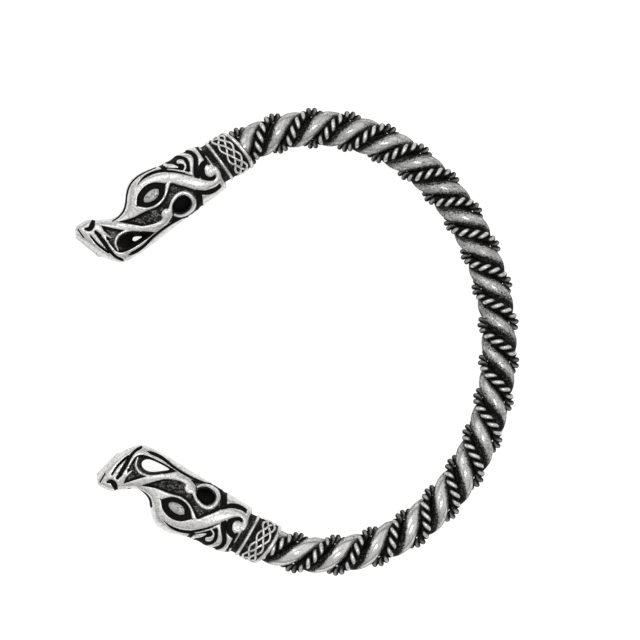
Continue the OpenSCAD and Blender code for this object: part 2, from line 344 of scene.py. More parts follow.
def set_polish_and_shade(mesh: bpy.types.Mesh, by_corner: Array) -> None:
    """Stores how polished the silver is at each face corner, from 0 in a black recess to 1 on top, together
    with the painted shade and painted light that some pieces put in.
    """
    layer = mesh.attributes.new(POLISH_AND_SHADE, "FLOAT", "CORNER")
    layer.data.foreach_set("value", np.ascontiguousarray(by_corner, np.float32))


def polish_and_shade_points(mesh: bpy.types.Mesh, by_point: Array) -> None:
    """Stores the same from one value for each point."""
    set_polish_and_shade(mesh, by_point.ravel()[corner_points(mesh)])


def joined(name: str, meshes: list[bpy.types.Mesh]) -> bpy.types.Mesh:
    """Makes one mesh of several, with their stored polish, and removes them.

    Args:
        name: Name of the whole.
        meshes: The meshes to join.

    Returns:
        The whole.
    """
    places = [mesh_places(mesh) for mesh in meshes]
    offsets = np.cumsum([0] + [len(rows) for rows in places[:-1]])
    corners = [corner_points(mesh) + offset for mesh, offset in zip(meshes, offsets)]
    sizes = [read_values(mesh.polygons, "loop_total", np.int32) for mesh in meshes]
    polish = [read_values(mesh.attributes[POLISH_AND_SHADE].data, "value") for mesh in meshes]
    whole = mesh_of(name, np.vstack(places), np.concatenate(corners), np.concatenate(sizes))
    set_polish_and_shade(whole, np.concatenate(polish))
    for mesh in meshes:
        bpy.data.meshes.remove(mesh)
    return whole


def new_piece(name: str, mesh: bpy.types.Mesh) -> bpy.types.Object:
    """Puts a mesh in the scene as an object at the origin."""
    piece = bpy.data.objects.new(name, mesh)
    bpy.context.scene.collection.objects.link(piece)
    return piece


def dressed(mesh: bpy.types.Mesh, finish: bpy.types.Material) -> bpy.types.Object:
    """Makes a finished mesh a piece of the ring, on its one body.

    Args:
        mesh: The mesh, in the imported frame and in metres.
        finish: Its material.

    Returns:
        The piece.
    """
    mesh.materials.clear()
    mesh.materials.append(finish)
    piece = new_piece(mesh.name, mesh)
    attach(piece, "root")
    return piece


# Shader maths


class Link:
    """A node's output with Python's operators: each adds the Math node that works the expression out."""

    def __init__(self, shop: NodeShop, socket: bpy.types.NodeSocket) -> None:
        """Keeps the node tree's helper and the socket."""
        self.shop = shop
        self.socket = socket

    def __add__(self, other: Link | float) -> Link:
        """This plus the other."""
        return self.shop.math("ADD", self, other)

    __radd__ = __add__

    def __mul__(self, other: Link | float) -> Link:
        """This times the other."""
        return self.shop.math("MULTIPLY", self, other)

    __rmul__ = __mul__

    def __sub__(self, other: Link | float) -> Link:
        """This less the other."""
        return self.shop.math("SUBTRACT", self, other)

    def __rsub__(self, other: Link | float) -> Link:
        """The other less this."""
        return self.shop.math("SUBTRACT", other, self)


class NodeShop:
    """Adds nodes to the node tree of a material or a world."""

    def __init__(self, owner: bpy.types.Material | bpy.types.World) -> None:
        """Gives the owner an empty node tree and keeps the tree."""
        owner.use_nodes = True
        self.tree = owner.node_tree
        self.tree.nodes.clear()

    def node(
        self, kind: str, settings: dict[str, Any] | None = None, inputs: dict[Any, Any] | None = None
    ) -> bpy.types.Node:
        """Adds one node.

        Args:
            kind: The node's type.
            settings: Properties of the node, set before its sockets.
            inputs: Values or links of its sockets, by name or number.

        Returns:
            The node.
        """
        made = self.tree.nodes.new(kind)
        for key, value in (settings or {}).items():
            setattr(made, key, value)
        for key, value in (inputs or {}).items():
            if isinstance(value, Link):
                self.tree.links.new(value.socket, made.inputs[key])
            else:
                made.inputs[key].default_value = value
        return made

    def out(self, node: bpy.types.Node, name: str | int = 0) -> Link:
        """One output of a node, by name or number."""
        return Link(self, node.outputs[name])

    def attribute(self, name: str) -> bpy.types.Node:
        """The node that reads one of the mesh's own attributes."""
        return self.node("ShaderNodeAttribute", {"attribute_type": "GEOMETRY", "attribute_name": name})

    def math(self, operation: str, first: Link | float, second: Link | float) -> Link:
        """A Math node of two values."""
        return self.out(self.node("ShaderNodeMath", {"operation": operation}, {0: first, 1: second}))

    def step(self, value: Link, low: float, high: float) -> Link:
        """A soft step of a value.

        Args:
            value: The value.
            low: Where the step is 0.
            high: Where it is 1.

        Returns:
            The step.
        """
        settings = {"interpolation_type": "SMOOTHSTEP", "clamp": True}
        inputs = {"Value": value, "From Min": low, "From Max": high}
        return self.out(self.node("ShaderNodeMapRange", settings, inputs), "Result")

    def blend(self, factor: Link | float, first: Any, second: Any) -> Link:
        """A colour between two colours; sockets 6 and 7 and output 2 are the Mix node's colours."""
        inputs = {"Factor": factor, 6: first, 7: second}
        return self.out(self.node("ShaderNodeMix", {"data_type": "RGBA"}, inputs), 2)

    def surface(self, shader: str, output: str, inputs: dict[str, Any]) -> None:
        """Adds a shader and leads it to the tree's output."""
        self.node(output, {}, {"Surface": self.out(self.node(shader, {}, inputs))})


@dataclass(frozen=True)
class Pattern:
    """Cloudy noise of mean 0.5, made of ever finer layers, each with the rough share of the one before.

    The waves are counted in a millimetre, once for all axes or for each axis by itself. In the second
    case the Mapping node scales the coordinates and then turns them about z by degrees, so the turn
    picks another part of the noise and leaves the waves along the axes.
    """

    waves: Point
    layers: float = 2.0
    rough: float = 0.7
    turn: float = 0.0

    def made(self, shop: NodeShop, where: Link) -> Link:
        """Adds the pattern's nodes.

        Args:
            shop: Helper of the tree that they go into.
            where: Coordinates in millimetres.

        Returns:
            The noise.
        """
        scale = self.waves[0]
        if len(self.waves) > 1:
            spin = (0.0, 0.0, math.radians(self.turn))
            mapped = {"Vector": where, "Rotation": spin, "Scale": self.waves}
            where = shop.out(shop.node("ShaderNodeMapping", {"vector_type": "POINT"}, mapped))
            scale = 1.0
        inputs = {"Vector": where, "Scale": scale, "Detail": self.layers, "Roughness": self.rough}
        return shop.out(shop.node("ShaderNodeTexNoise", {}, inputs), "Fac")


@dataclass(frozen=True)
class Silver:
    """Antique silver: bright where it was polished, black where the patina stayed, and also darker or
    brighter where the stored polish holds painted shade and painted light.
    """

    name: str
    bright: Point = (0.66, 0.655, 0.645, 1.0)
    dull: Point = (0.30, 0.295, 0.29, 1.0)
    patina: Point = (0.004, 0.004, 0.004, 1.0)
    bright_rough: float = 0.25
    patina_rough: float = 0.6
    patina_gloss: float = 0.06
    clouds: Pattern = Pattern((0.8,), 3.0, 0.6)
    grain: Pattern = Pattern((3.3,), 3.0)
    fine: Pattern = Pattern((14.0,), rough=0.6)
    lines: Pattern = Pattern((0.6, 14.0, 6.0), turn=25.0)
    cross: Pattern = Pattern((12.0, 0.5, 6.0), turn=55.0)
    polished_step: Step = (0.18, 0.62)
    line_step: Step = (0.56, 0.72)
    cross_step: Step = (0.58, 0.74)
    tarnish_step: Step = (-0.12, 0.24)
    streak_share: float = 0.3
    grain_wear: float = 0.9
    cloud_wear: float = 0.45
    streak_wear: float = 0.6
    grain_tarnish: float = 1.1
    cloud_tarnish: float = 0.4
    dull_share: float = 0.9
    clean_share: float = 0.0
    fine_rough: float = 0.16
    scratch_rough: float = 0.06
    tarnish_rough: float = 0.18
    grain_height: float = 0.7
    fine_height: float = 0.3
    scratch_height: float = 0.1
    bump: float = 0.6
    bump_depth: float = 0.03
    drawn: bool = False

    def made(self) -> bpy.types.Material:
        """Builds the material.

        The stored polish, broken up by grain, blends patina into bright silver; it also holds the painted
        shade and painted light that the rods, wires and heads put in. Cloudy tarnish, casting grain and fine
        scratches change the colour, the roughness and the normal. On a drawn rod the clouds and scratches
        follow the rod made straight.

        Returns:
            The material.
        """
        material = bpy.data.materials.new(self.name)
        shop = NodeShop(material)
        place = shop.out(shop.node("ShaderNodeTexCoord"), "Object")
        scaled = {"operation": "SCALE"}
        where = shop.out(shop.node("ShaderNodeVectorMath", scaled, {0: place, "Scale": 1.0 / MM}))
        along = shop.out(shop.attribute(STRAIGHT), "Vector") if self.drawn else where
        stored = shop.out(shop.attribute(POLISH_AND_SHADE), "Fac")
        grain, fine = self.grain.made(shop, where), self.fine.made(shop, where)
        clouds, lines = self.clouds.made(shop, along), self.lines.made(shop, along)
        cross = self.cross.made(shop, along)
        streaks = (lines - NOISE_MEAN) * self.streak_share
        # the stored polish carries painted shade and painted light as well as wear
        worn_and_shaded = stored + (grain - NOISE_MEAN) * self.grain_wear + (clouds - NOISE_MEAN) * self.cloud_wear
        polish = shop.step(worn_and_shaded + streaks * self.streak_wear, *self.polished_step)
        scratches = shop.step(lines, *self.line_step) + shop.step(cross, *self.cross_step)
        stain = (clouds - NOISE_MEAN) * self.cloud_tarnish + (grain - NOISE_MEAN) * self.grain_tarnish
        tarnish = shop.step(stain + streaks, *self.tarnish_step) * (1.0 - stored * self.clean_share)
        silver = shop.blend(tarnish * self.dull_share, self.bright, self.dull)
        rough = (
            polish * (self.bright_rough - self.patina_rough)
            + self.patina_rough
            + (fine - NOISE_MEAN) * self.fine_rough
            + scratches * self.scratch_rough
            + tarnish * self.tarnish_rough
        )
        height = grain * self.grain_height + fine * self.fine_height - scratches * self.scratch_height
        dents = {"Strength": self.bump, "Distance": self.bump_depth * MM, "Height": height}
        inputs = {
            "Base Color": shop.blend(polish, self.patina, silver),
            "Metallic": polish,
            "Roughness": rough,
            "Specular IOR Level": self.patina_gloss,
            "Normal": shop.out(shop.node("ShaderNodeBump", {}, dents)),
        }
        shop.surface("ShaderNodeBsdfPrincipled", "ShaderNodeOutputMaterial", inputs)
        return material


@dataclass(frozen=True)
class RodSilver(Silver):
    """Silver of the drawn rods, darker where it is dull, with stains and scratches that run along."""

    bright: Point = (0.64, 0.635, 0.625, 1.0)
    dull: Point = (0.13, 0.128, 0.125, 1.0)
    bright_rough: float = 0.15
    clouds: Pattern = Pattern((0.45, 1.5, 1.5), 3.0, 0.65)
    grain: Pattern = Pattern((3.6,), 3.0)
    lines: Pattern = Pattern((0.35, 7.0, 7.0))
    cross: Pattern = Pattern((0.8, 16.0, 16.0))
    polished_step: Step = (0.02, 0.95)
    streak_share: float = 1.7
    grain_wear: float = 2.2
    cloud_wear: float = 1.1
    grain_tarnish: float = 0.9
    clean_share: float = 0.6
    bump_depth: float = 0.012
    drawn: bool = True


@dataclass(frozen=True)
class WireSilver(Silver):
    """Silver of the fine wires, which need more polish than the rest before they turn bright."""

    bright_rough: float = 0.2
    polished_step: Step = (0.1, 1.05)
    bump_depth: float = 0.010


# The rope


@dataclass(frozen=True)
class RopeLine:
    """The rope's middle line: an oval in the ring's level plane, open between the heads."""

    width: float = 57.2
    height: float = 68.4
    lean: float = 3.6
    upper_end: float = 112.9
    lower_end: float = 111.3
    centre: Point = (3.735, 0.007, 3.92)
    turns: float = 9.93
    tighten: float = 0.14
    start: float = -32.0
    past_end: float = 8.0
    table_rows: int = 4000
    heading_step: float = 0.05

    def flat_point(self, angle: Array) -> Array:
        """Places on the oval: half its width times the cosine and half its height times the sine, leaned.

        Args:
            angle: Angles round the oval, in degrees.

        Returns:
            The places, in two coordinates.
        """
        radians = np.radians(angle)
        oval = np.stack([self.width / 2 * np.cos(radians), self.height / 2 * np.sin(radians)], axis=-1)
        return turned(oval, self.lean)

    def heading(self, angle: Array) -> Array:
        """Direction of travel round the oval, in degrees."""
        step = self.flat_point(angle + self.heading_step) - self.flat_point(angle - self.heading_step)
        return np.degrees(np.arctan2(step[..., 1], step[..., 0]))

    def run_table(self) -> tuple[Array, Array]:
        """Works out lengths along the oval.

        Returns:
            Angles round the oval, and the length of rope up to each, counted from the lower mouth.
        """
        angles = np.linspace(-self.lower_end - self.past_end, self.upper_end + self.past_end, self.table_rows)
        runs = run_lengths(self.flat_point(angles))
        return angles, runs - np.interp(-self.lower_end, angles, runs)

    def length(self) -> float:
        """Length of rope between the two mouths."""
        angles, runs = self.run_table()
        return float(np.interp(self.upper_end, angles, runs))

    def frames(self, run: Array) -> tuple[Array, Array, Array]:
        """Finds the rope's place and directions at lengths along it.

        Args:
            run: Lengths along the rope.

        Returns:
            Its middle, its heading and the outward direction, each as rows of three.
        """
        angles, runs = self.run_table()
        angle = np.interp(run, runs, angles)
        flat = self.flat_point(angle)
        way = np.radians(self.heading(angle))
        level = np.zeros_like(way)
        middle = np.column_stack([flat, level])
        ahead = np.column_stack([np.cos(way), np.sin(way), level])
        out = np.column_stack([np.sin(way), -np.cos(way), level])
        return middle, ahead, out

    def twist(self, run: Array) -> Array:
        """Turn of the strands at lengths along the rope, in degrees; it tightens evenly upwards."""
        share = run / self.length()
        return self.start + 360.0 * self.turns * share * (1 + self.tighten / 2 * (share - 1))

    def strand(self, run: Array, orbit: float, phase: float) -> tuple[Array, Array]:
        """A strand that goes round the rope as it advances.

        Args:
            run: Lengths along the rope.
            orbit: Distance of the strand's middle from the rope's.
            phase: Place round the rope, in degrees.

        Returns:
            The strand's middle line, and the direction from the rope's middle to it.
        """
        middle, _, out = self.frames(run)
        angle = np.radians(phase + self.twist(run))[:, None]
        radial = np.cos(angle) * out + np.sin(angle) * np.array([0.0, 0.0, 1.0])
        return middle + orbit * radial, radial


def tube_along(name: str, line: Array, spokes: Array, radius: Array, sides: int) -> bpy.types.Mesh:
    """A round tube along a line, in the ring's frame in millimetres.

    Args:
        name: Name of the mesh.
        line: Middle of each ring.
        spokes: Rough direction of each ring's first point, made square to the line.
        radius: Radius of each ring.
        sides: Number of points in a ring.

    Returns:
        The mesh, its faces outward.
    """
    ahead = unit_rows(np.gradient(line, axis=0))
    first = square_to(ahead, spokes)
    rings = ring_points(line, first, np.cross(ahead, first), radius, radius, sides)
    return mesh_of(name, rings.reshape(-1, 3), *tube_faces(len(line), sides))


@dataclass
class TwistedRope:
    """Two plain rods twisted round each other, with a two-wire cable in each groove between them.

    A row of the rods' waver is a share of the radius, its waves' rate along the rope, and how often it
    counts the rod's phase.
    """

    line: RopeLine
    rod_finish: bpy.types.Material
    wire_finish: bpy.types.Material
    rod_r: float = 1.4
    rod_slack: float = 0.01
    rod_orbit: float = 1.43
    rod_depth: float = 2.0
    rod_waver: Rows = ((0.012, 1.9, 1.0), (0.008, 4.3, 2.0))
    rod_rings_per_turn: int = 44
    rod_sides: int = 40
    rod_step: Step = (2.52, 2.88)
    # painted shade: rods are darker where they face sideways, keeping this share of their polish
    side_shade_step: Step = (0.1, 0.8)
    side_shade_share: float = 0.5
    # painted light: how far the flank of each rod that faces the lit way is brightened, and that way in
    # degrees
    lit_flank_shift: float = 0.34
    # painted light towards the rope's ends and painted shade in its middle
    lit_end_shift: float = 0.1
    lit_way: float = 30.0
    middle_shade_share: float = 0.62
    upper_end_light_share: float = 0.4
    pattern_shift: float = 5.0
    cable_orbit: float = 2.56
    cable_steps: int = 3000
    wire_r: float = 0.40
    wire_orbit: float = 0.385
    wire_lead: float = 3.1
    wire_rings_per_turn: int = 15
    wire_sides: int = 14
    wire_past: float = 0.9
    bulge_step: Step = (0.63, 0.79)
    outward_step: Step = (0.20, 0.62)
    height_step: Step = (2.72, 3.12)
    # painted shade: how the crowns darken towards the rope's sides, which face sideways
    level_step: Step = (0.25, 0.8)
    tip_step: Step = (0.1, 0.6)
    crown_floor: float = 0.3
    tip_polish: float = 0.55

    def rod(self, name: str, phase: float) -> bpy.types.Object:
        """One plain rod, whose radius wavers along it by sines of the length.

        Args:
            name: The rod's CAD node.
            phase: Place round the rope, in degrees.

        Returns:
            The piece.
        """
        count = int(self.line.turns * self.rod_rings_per_turn)
        run = np.linspace(-self.rod_depth, self.line.length() + self.rod_depth, count)
        centres, radial = self.line.strand(run, self.rod_orbit, phase)
        waver = sum(share * np.sin(run * rate + times * phase) for share, rate, times in self.rod_waver)
        radius = self.rod_r * (1 + waver) - self.rod_slack
        mesh = tube_along(name + "_plain", centres, radial, radius, self.rod_sides)
        rings = mesh_places(mesh).reshape(count, self.rod_sides, 3)
        polish_and_shade_points(mesh, self.rod_polish_and_shade(run, centres, rings))
        self.store_straight(mesh, run + self.pattern_shift * phase)
        return self.finished(mesh, name, self.rod_finish)

    def rod_polish_and_shade(self, run: Array, centres: Array, rings: Array) -> Array:
        """How polished a rod is.

        It is polished where it faces away from the rope's middle and keeps its patina where it faces the
        cables and the other rod. Over that lie painted light and painted shade: the flank that faces the lit
        way in the ring's plane is brighter, the rope's ends are brighter, most of all the lower one, its
        middle is darker, and the sides that face sideways are darker.

        Args:
            run: Length along the rope of each ring.
            centres: Middle of each ring.
            rings: Rings, points and coordinates.

        Returns:
            One value for each point, by rings.
        """
        middle, ahead, _ = self.line.frames(run)
        reach = np.linalg.norm(rings - middle[:, None], axis=2)
        spoke = (rings - centres[:, None]) / self.rod_r
        # painted light and shade: the flank that faces the lit way in the ring's plane is made brighter, the
        # other flank darker
        way = math.radians(self.lit_way)
        facing = np.clip(2 * (ahead @ np.array([math.cos(way), math.sin(way), 0.0])), -1.0, 1.0)
        forward = np.sum(spoke * ahead[:, None], axis=2) * facing[:, None]
        # painted light towards the rope's ends, most of all the lower one, and painted shade in the rope's
        # middle
        from_middle = 2 * run[:, None] / self.line.length() - 1
        near_end = np.where(from_middle > 0, self.upper_end_light_share, -1.0) * from_middle
        polish = smoothstep(*self.rod_step, reach + self.lit_flank_shift * forward + self.lit_end_shift * near_end)
        # painted shade on the parts of a rod that face sideways
        level = smoothstep(*self.side_shade_step, np.abs(spoke[..., 2]))
        return polish * at_least(self.side_shade_share, level) * at_least(self.middle_shade_share, near_end)

    def store_straight(self, mesh: bpy.types.Mesh, along: Array) -> None:
        """Stores where each point of a rod would lie on the rod made straight.

        Args:
            mesh: The rod's mesh.
            along: Place of each ring on the straight rod.
        """
        x_way, y_way, z_way = np.broadcast_to(np.eye(3)[:, None], (3, len(along), 3))
        radius = np.full(len(along), self.rod_r)
        straight = ring_points(along[:, None] * x_way, y_way, z_way, radius, radius, self.rod_sides)
        layer = mesh.attributes.new(STRAIGHT, "FLOAT_VECTOR", "POINT")
        layer.data.foreach_set("vector", straight.astype(np.float32).ravel())

    def wire(self, name: str, cable_phase: float, wire_phase: float) -> bpy.types.Mesh:
        """One wire of a cable: a fine helix round the cable's own line, which goes round the rope.

        Args:
            name: Name of the mesh.
            cable_phase: Place of the cable round the rope, in degrees.
            wire_phase: Place of the wire round the cable, in degrees.

        Returns:
            The mesh in the oval's frame.
        """
        coarse = np.linspace(-self.wire_past, self.line.length() + self.wire_past, self.cable_steps)
        lengths = run_lengths(self.line.strand(coarse, self.cable_orbit, cable_phase)[0])
        count = int(lengths[-1] / self.wire_lead * self.wire_rings_per_turn)
        along = np.linspace(0.0, lengths[-1], count)
        run = np.interp(along, lengths, coarse)
        centres, radial = self.line.strand(run, self.cable_orbit, cable_phase)
        ahead = unit_rows(np.gradient(centres, axis=0))
        radial = square_to(ahead, radial)
        turn = np.radians(wire_phase + 360.0 * along / self.wire_lead)[:, None]
        spoke = np.cos(turn) * radial + np.sin(turn) * np.cross(radial, ahead)
        radius = np.full(count, self.wire_r)
        mesh = tube_along(name, centres + self.wire_orbit * spoke, spoke, radius, self.wire_sides)
        rings = mesh_places(mesh).reshape(count, self.wire_sides, 3)
        from_cable, from_rope = rings - centres[:, None], rings - self.line.frames(run)[0][:, None]
        outward = np.sum(from_cable * radial[:, None], axis=2)
        polish_and_shade_points(mesh, self.wire_polish_and_shade(from_cable, from_rope, outward))
        return mesh

    def wire_polish_and_shade(self, from_cable: Array, from_rope: Array, outward: Array) -> Array:
        """How polished a wire is.

        It is polished where it bulges from the cable: on its crown, which lies far out from the rope, and a
        little on its tips at the rope's sides. Crowns at the rope's sides, which face sideways, are made
        darker: painted shade.

        Args:
            from_cable: Way to each point from the cable's middle.
            from_rope: Way to each point from the rope's middle.
            outward: Height of each point over the cable's middle, away from the rope.

        Returns:
            One value for each point, by rings.
        """
        bulge = np.linalg.norm(from_cable, axis=2)
        height = np.linalg.norm(from_rope, axis=2)
        level = smoothstep(*self.level_step, np.abs(from_rope[..., 2]) / height.max())
        crown = smoothstep(*self.outward_step, outward) * smoothstep(*self.height_step, height)
        tips = (1 - level) * smoothstep(*self.tip_step, np.abs(from_cable[..., 2]) / bulge.max())
        # painted shade: at the rope's sides a crown keeps only crown_floor of its polish
        worn_and_shaded = np.maximum(crown * at_least(self.crown_floor, level), self.tip_polish * tips)
        return smoothstep(*self.bulge_step, bulge) * worn_and_shaded

    def cable(self, name: str, phase: float) -> bpy.types.Object:
        """A cable of two wires, half a turn apart, joined as one piece."""
        wires = [self.wire(f"{name}_wire_{turn:.0f}", phase, turn) for turn in (0.0, 180.0)]
        return self.finished(joined(name + "_wires", wires), name, self.wire_finish)

    def finished(
        self, mesh: bpy.types.Mesh, node: str, finish: bpy.types.Material
    ) -> bpy.types.Object:
        """Moves a mesh from the oval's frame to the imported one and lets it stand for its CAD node.

        Args:
            mesh: The mesh of a rod or a cable.
            node: The CAD node.
            finish: Its material.

        Returns:
            The piece.
        """
        move_mesh(mesh, (mesh_places(mesh) + np.array(self.line.centre)) * MM)
        piece = dressed(mesh, finish)
        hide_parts(node)
        return piece

    def build(self) -> list[bpy.types.Object]:
        """Builds the two rods and the two cables.

        Returns:
            The four pieces.
        """
        return [
            self.rod("rod_a", 0.0),
            self.rod("rod_b", 180.0),
            self.cable("cable_a", 90.0),
            self.cable("cable_b", 270.0),
        ]


# The heads


class Forehead(Enum):
    """The mark before the brow, as a stroke of the drawing: the two heads wear different ones. Both marks are
    painted shade, sunk and kept black along the forehead's edge: a line on the upper head and a crescent on
    the lower one.
    """

    LINE = (
        (147, 2.6, 0.5), (140, 3.1, 0.7), (132.9, 5.5, 0.8), (127, 10.6, 0.9), (121.8, 17.4, 0.9),
        (114.4, 23.9, 0.8), (105, 27.4, 0.7), (94, 27.6, 0.6), (83, 26.4, 0.5),
    )
    SHADE_CRESCENT = ((152, 7.4, 0.8), (145, 6.2, 1.9), (137, 6.0, 2.5), (130, 8.4, 2.5), (125, 13.2, 1.5))


@dataclass(frozen=True)
class Drawing:
    """The relief, drawn from the side of a head, in parts of 0.16 mm.

    A stroke's point is a place from the collar's mouth towards the muzzle, a height above the head's
    middle line, and half a width. An outline's point has no width, and a point given twice is a corner.
    The waist of the mouth is the place towards which its hole narrows, and its share of the drawn size.
    """

    part: float = 0.16
    sunk_strokes: tuple[Rows, ...] = (
        # Arc behind the crest
        ((53, 28, 1.5), (48.7, 24.3, 1.8), (45, 20.4, 2), (43.7, 14.7, 2.2), (45.6, 9.7, 2.2),
         (48.7, 4.7, 2.3), (50.9, 0.3, 2.5), (52.5, -4, 2.7)),
        # Channel round the volute
        ((29.5, 1.5, 1.8), (33.6, 3.2, 2.3), (38, 4.5, 2.6), (42.8, 2.6, 2.8), (45.8, -2, 3),
         (46.4, -7.2, 3), (43.8, -11.6, 2.6), (39.8, -13.4, 2.2), (36.2, -12.4, 1.6)),
        # Groove above the brow
        ((106, 20.6, 0.6), (97, 23.2, 1.3), (88, 22.8, 1.5), (80, 20.2, 1.7), (74.5, 16.3, 2.2),
         (69, 11.2, 1.9), (63, 5.4, 1.9), (57, -1.4, 1.7)),
        # Dark mark above the crest leaf
        ((77.5, 25.5, 1.6), (76.3, 20, 1.8), (74.6, 16.8, 1.6)),
        # Groove under the brow's curl
        ((60, -15.3, 1.3), (53, -21.2, 2.2), (44.3, -23, 2.2), (35.7, -21.2, 2), (31.5, -17, 1.6)),
        # Groove along the jaw
        ((152.4, -33.2, 1), (147, -34.8, 1.4), (140, -35.2, 1.5), (132, -34.4, 1.3), (121, -31.9, 1.1),
         (105, -29.9, 1), (89, -29.8, 1), (78, -31, 1.2)),
        # Gap behind the front lip
        ((167, 2, 1.2), (165.5, -5, 2.2), (164.8, -14, 1.9), (164.2, -22, 1.7), (162, -30, 1.5),
         (158.5, -35.5, 1.2)),
        # Line along the muzzle
        ((173.3, 1, 0.7), (172, -8, 1), (169.3, -16, 1.1), (166.5, -22.5, 0.9)),
        # Nostril
        ((174.2, 9.8, 1.1), (171, 7.6, 2), (167.8, 8.6, 2.5), (165, 11, 2.2), (163, 13.8, 1.3)),
        # Short mark at the muzzle's front
        ((181, 13, 0.6), (180.2, 3.3, 0.6)),
        # Dark end next to the collar
        ((35.5, 30, 3.5), (34, 10, 3.5), (32, -8, 3.5), (30, -24, 3.5)),
        # Notch before the volute's neck
        ((58.5, -19.5, 1.6), (60.3, -23.5, 2), (63.3, -28.5, 2), (66.5, -33, 1.4)),
    )
    smooth_fields: tuple[Rows, ...] = (
        # Crest
        ((71, 27), (61, 26.5), (54.4, 22.4), (51.2, 16.2), (52.8, 9.5), (56.3, 4.6), (62.5, 8), (69, 13.5),
         (75.5, 17.5), (77, 22)),
        # Eye socket
        ((118.2, 2.6), (118.2, 2.6), (112.4, 10.6), (102, 14.9), (91.6, 13.6), (82.3, 6.8), (82.3, 6.8),
         (89.8, -2.4), (99.1, -5.9), (109.4, -4.6)),
    )
    stippled_fields: tuple[Rows, ...] = (
        # Field between the eye, the ear and the lips
        ((142.5, -1), (142.5, -1), (128, -5.4), (117, -6.4), (108.5, -7.6), (101, -8.8), (92.3, -6.7),
         (84.4, -1.4), (78, 4.4), (71, -2.2), (64, -9.6), (60, -15.6), (61, -21), (64, -27), (69.5, -31),
         (80, -31), (90, -29.5), (98, -28), (106, -27), (118, -22), (130, -12)),
        # Field round the mouth
        ((158.8, 4.2), (158.8, 4.2), (150, -4.2), (142, -11.3), (133, -17.8), (124, -23.6), (116.5, -29),
         (116.5, -29), (124, -30.1), (135, -30.9), (148, -30.8), (156, -28.6), (160.5, -22), (161.8, -13),
         (159.6, -6)),
    )
    raised_strokes: tuple[Rows, ...] = (
        # Brow, which ends in the volute
        ((112, 14.5, 1.2), (105, 18.4, 2.4), (97, 19.2, 3), (88, 17.4, 4), (79.5, 12.8, 5), (70, 5.3, 5.5),
         (61.5, -3.2, 5.6), (54, -10.7, 5.2), (47, -16, 4.2), (40, -18, 3.2), (34.4, -15.7, 2.7),
         (32, -10, 2.4), (33.2, -4.5, 2.3), (37, -1.6, 2.2), (40.6, -2.8, 2.2)),
        # Lower lid
        ((118, -3.6, 0.9), (112, -5.6, 1), (103, -7.4, 1.1), (93.5, -5.7, 1.1), (85.6, -0.8, 1.1),
         (79.6, 5, 1.3)),
        # Lip
        ((160, 6.5, 1), (156, 3.8, 1.4), (149, -1.8, 1.8), (140.5, -8.3, 2), (132.5, -14.7, 2.2),
         (123, -20.4, 2.5), (112, -24.6, 2.8), (103, -25.2, 3.2), (97, -22, 4)),
        # Loop round the ear
        ((93, -19.5, 2.2), (89, -15.2, 1.8), (84.5, -11.6, 1.8), (77.5, -9.2, 1.9), (71, -11, 2),
         (67.2, -17, 2), (67.6, -24, 1.9), (72, -28.2, 1.8), (80, -29.6, 1.5), (87, -28, 1.2),
         (90.6, -24.5, 1)),
        # Tooth
        ((164.8, 4.8, 1.8), (163.2, 2, 2.1), (160.5, -3.4, 1.9), (156.8, -11, 0.7)),
        # Strap behind the gap
        ((161.6, -12, 0.7), (161.4, -20, 1.3), (159.8, -28.5, 1.5), (155.5, -33, 1.4), (148, -33, 1)),
        # Rim over the mouth
        ((157, -25.5, 0.8), (155.6, -18, 1.3), (149.8, -13.2, 1.5), (142, -12.8, 1.3), (134.5, -15.9, 1),
         (127, -21.2, 0.7)),
        # Leaf of the crest
        ((74, 26.5, 1.5), (72.6, 22.5, 1.8), (68, 18.6, 2.1), (63.4, 14.6, 0.8)),
        # Curl of the crest
        ((60, 19, 2.3), (57.6, 17.6, 2.3), (56, 13.6, 1.3), (57.6, 10, 1.1), (61, 8.2, 0.9)),
        # Strip below the crest
        ((73.6, 18.4, 0.7), (67.8, 14, 0.8), (61.4, 8.4, 0.8), (57.6, 5, 0.6)),
        # Slip in the gap
        ((163.6, -4.6, 0.5), (162.6, -9, 0.6), (160.4, -13, 0.5)),
    )
    eyeball: Rows = (
        (109.8, 2), (107.4, 6.2), (101.6, 8.4), (95.4, 8.4), (90.8, 5.8), (90.8, 5.8), (93.6, 0.6),
        (99.6, -1.6), (106, -1),
    )
    raised_dots: Rows = ((37, -5.4, 5), (96.8, -20.2, 5.5))
    mouth_hole: Rows = (
        (154.2, -21), (151, -16.6), (144.6, -14.9), (137, -16.9), (128, -22.2), (121.6, -26.4), (119.8, -28),
        (121.8, -28.9), (128, -29.6), (139, -29.9), (148.4, -28.8), (153, -25.4),
    )
    ear_hole: Point = (79.6, -19.4, 9.6, 7.0)
    forehead: Forehead = Forehead.LINE
    waist: Point = (134.5, -24.0, 0.28)
    waist_half: float = 2.6
    stipple_step: Step = (0.05, 0.5)
    curve_steps: int = 6
    margin: float = 0.8

    def sized(self, points: tuple[Point, ...], closed: bool = False) -> Array:
        """A drawn form in millimetres, as a smooth curve."""
        return smooth_curve(points, self.curve_steps, closed) * self.part

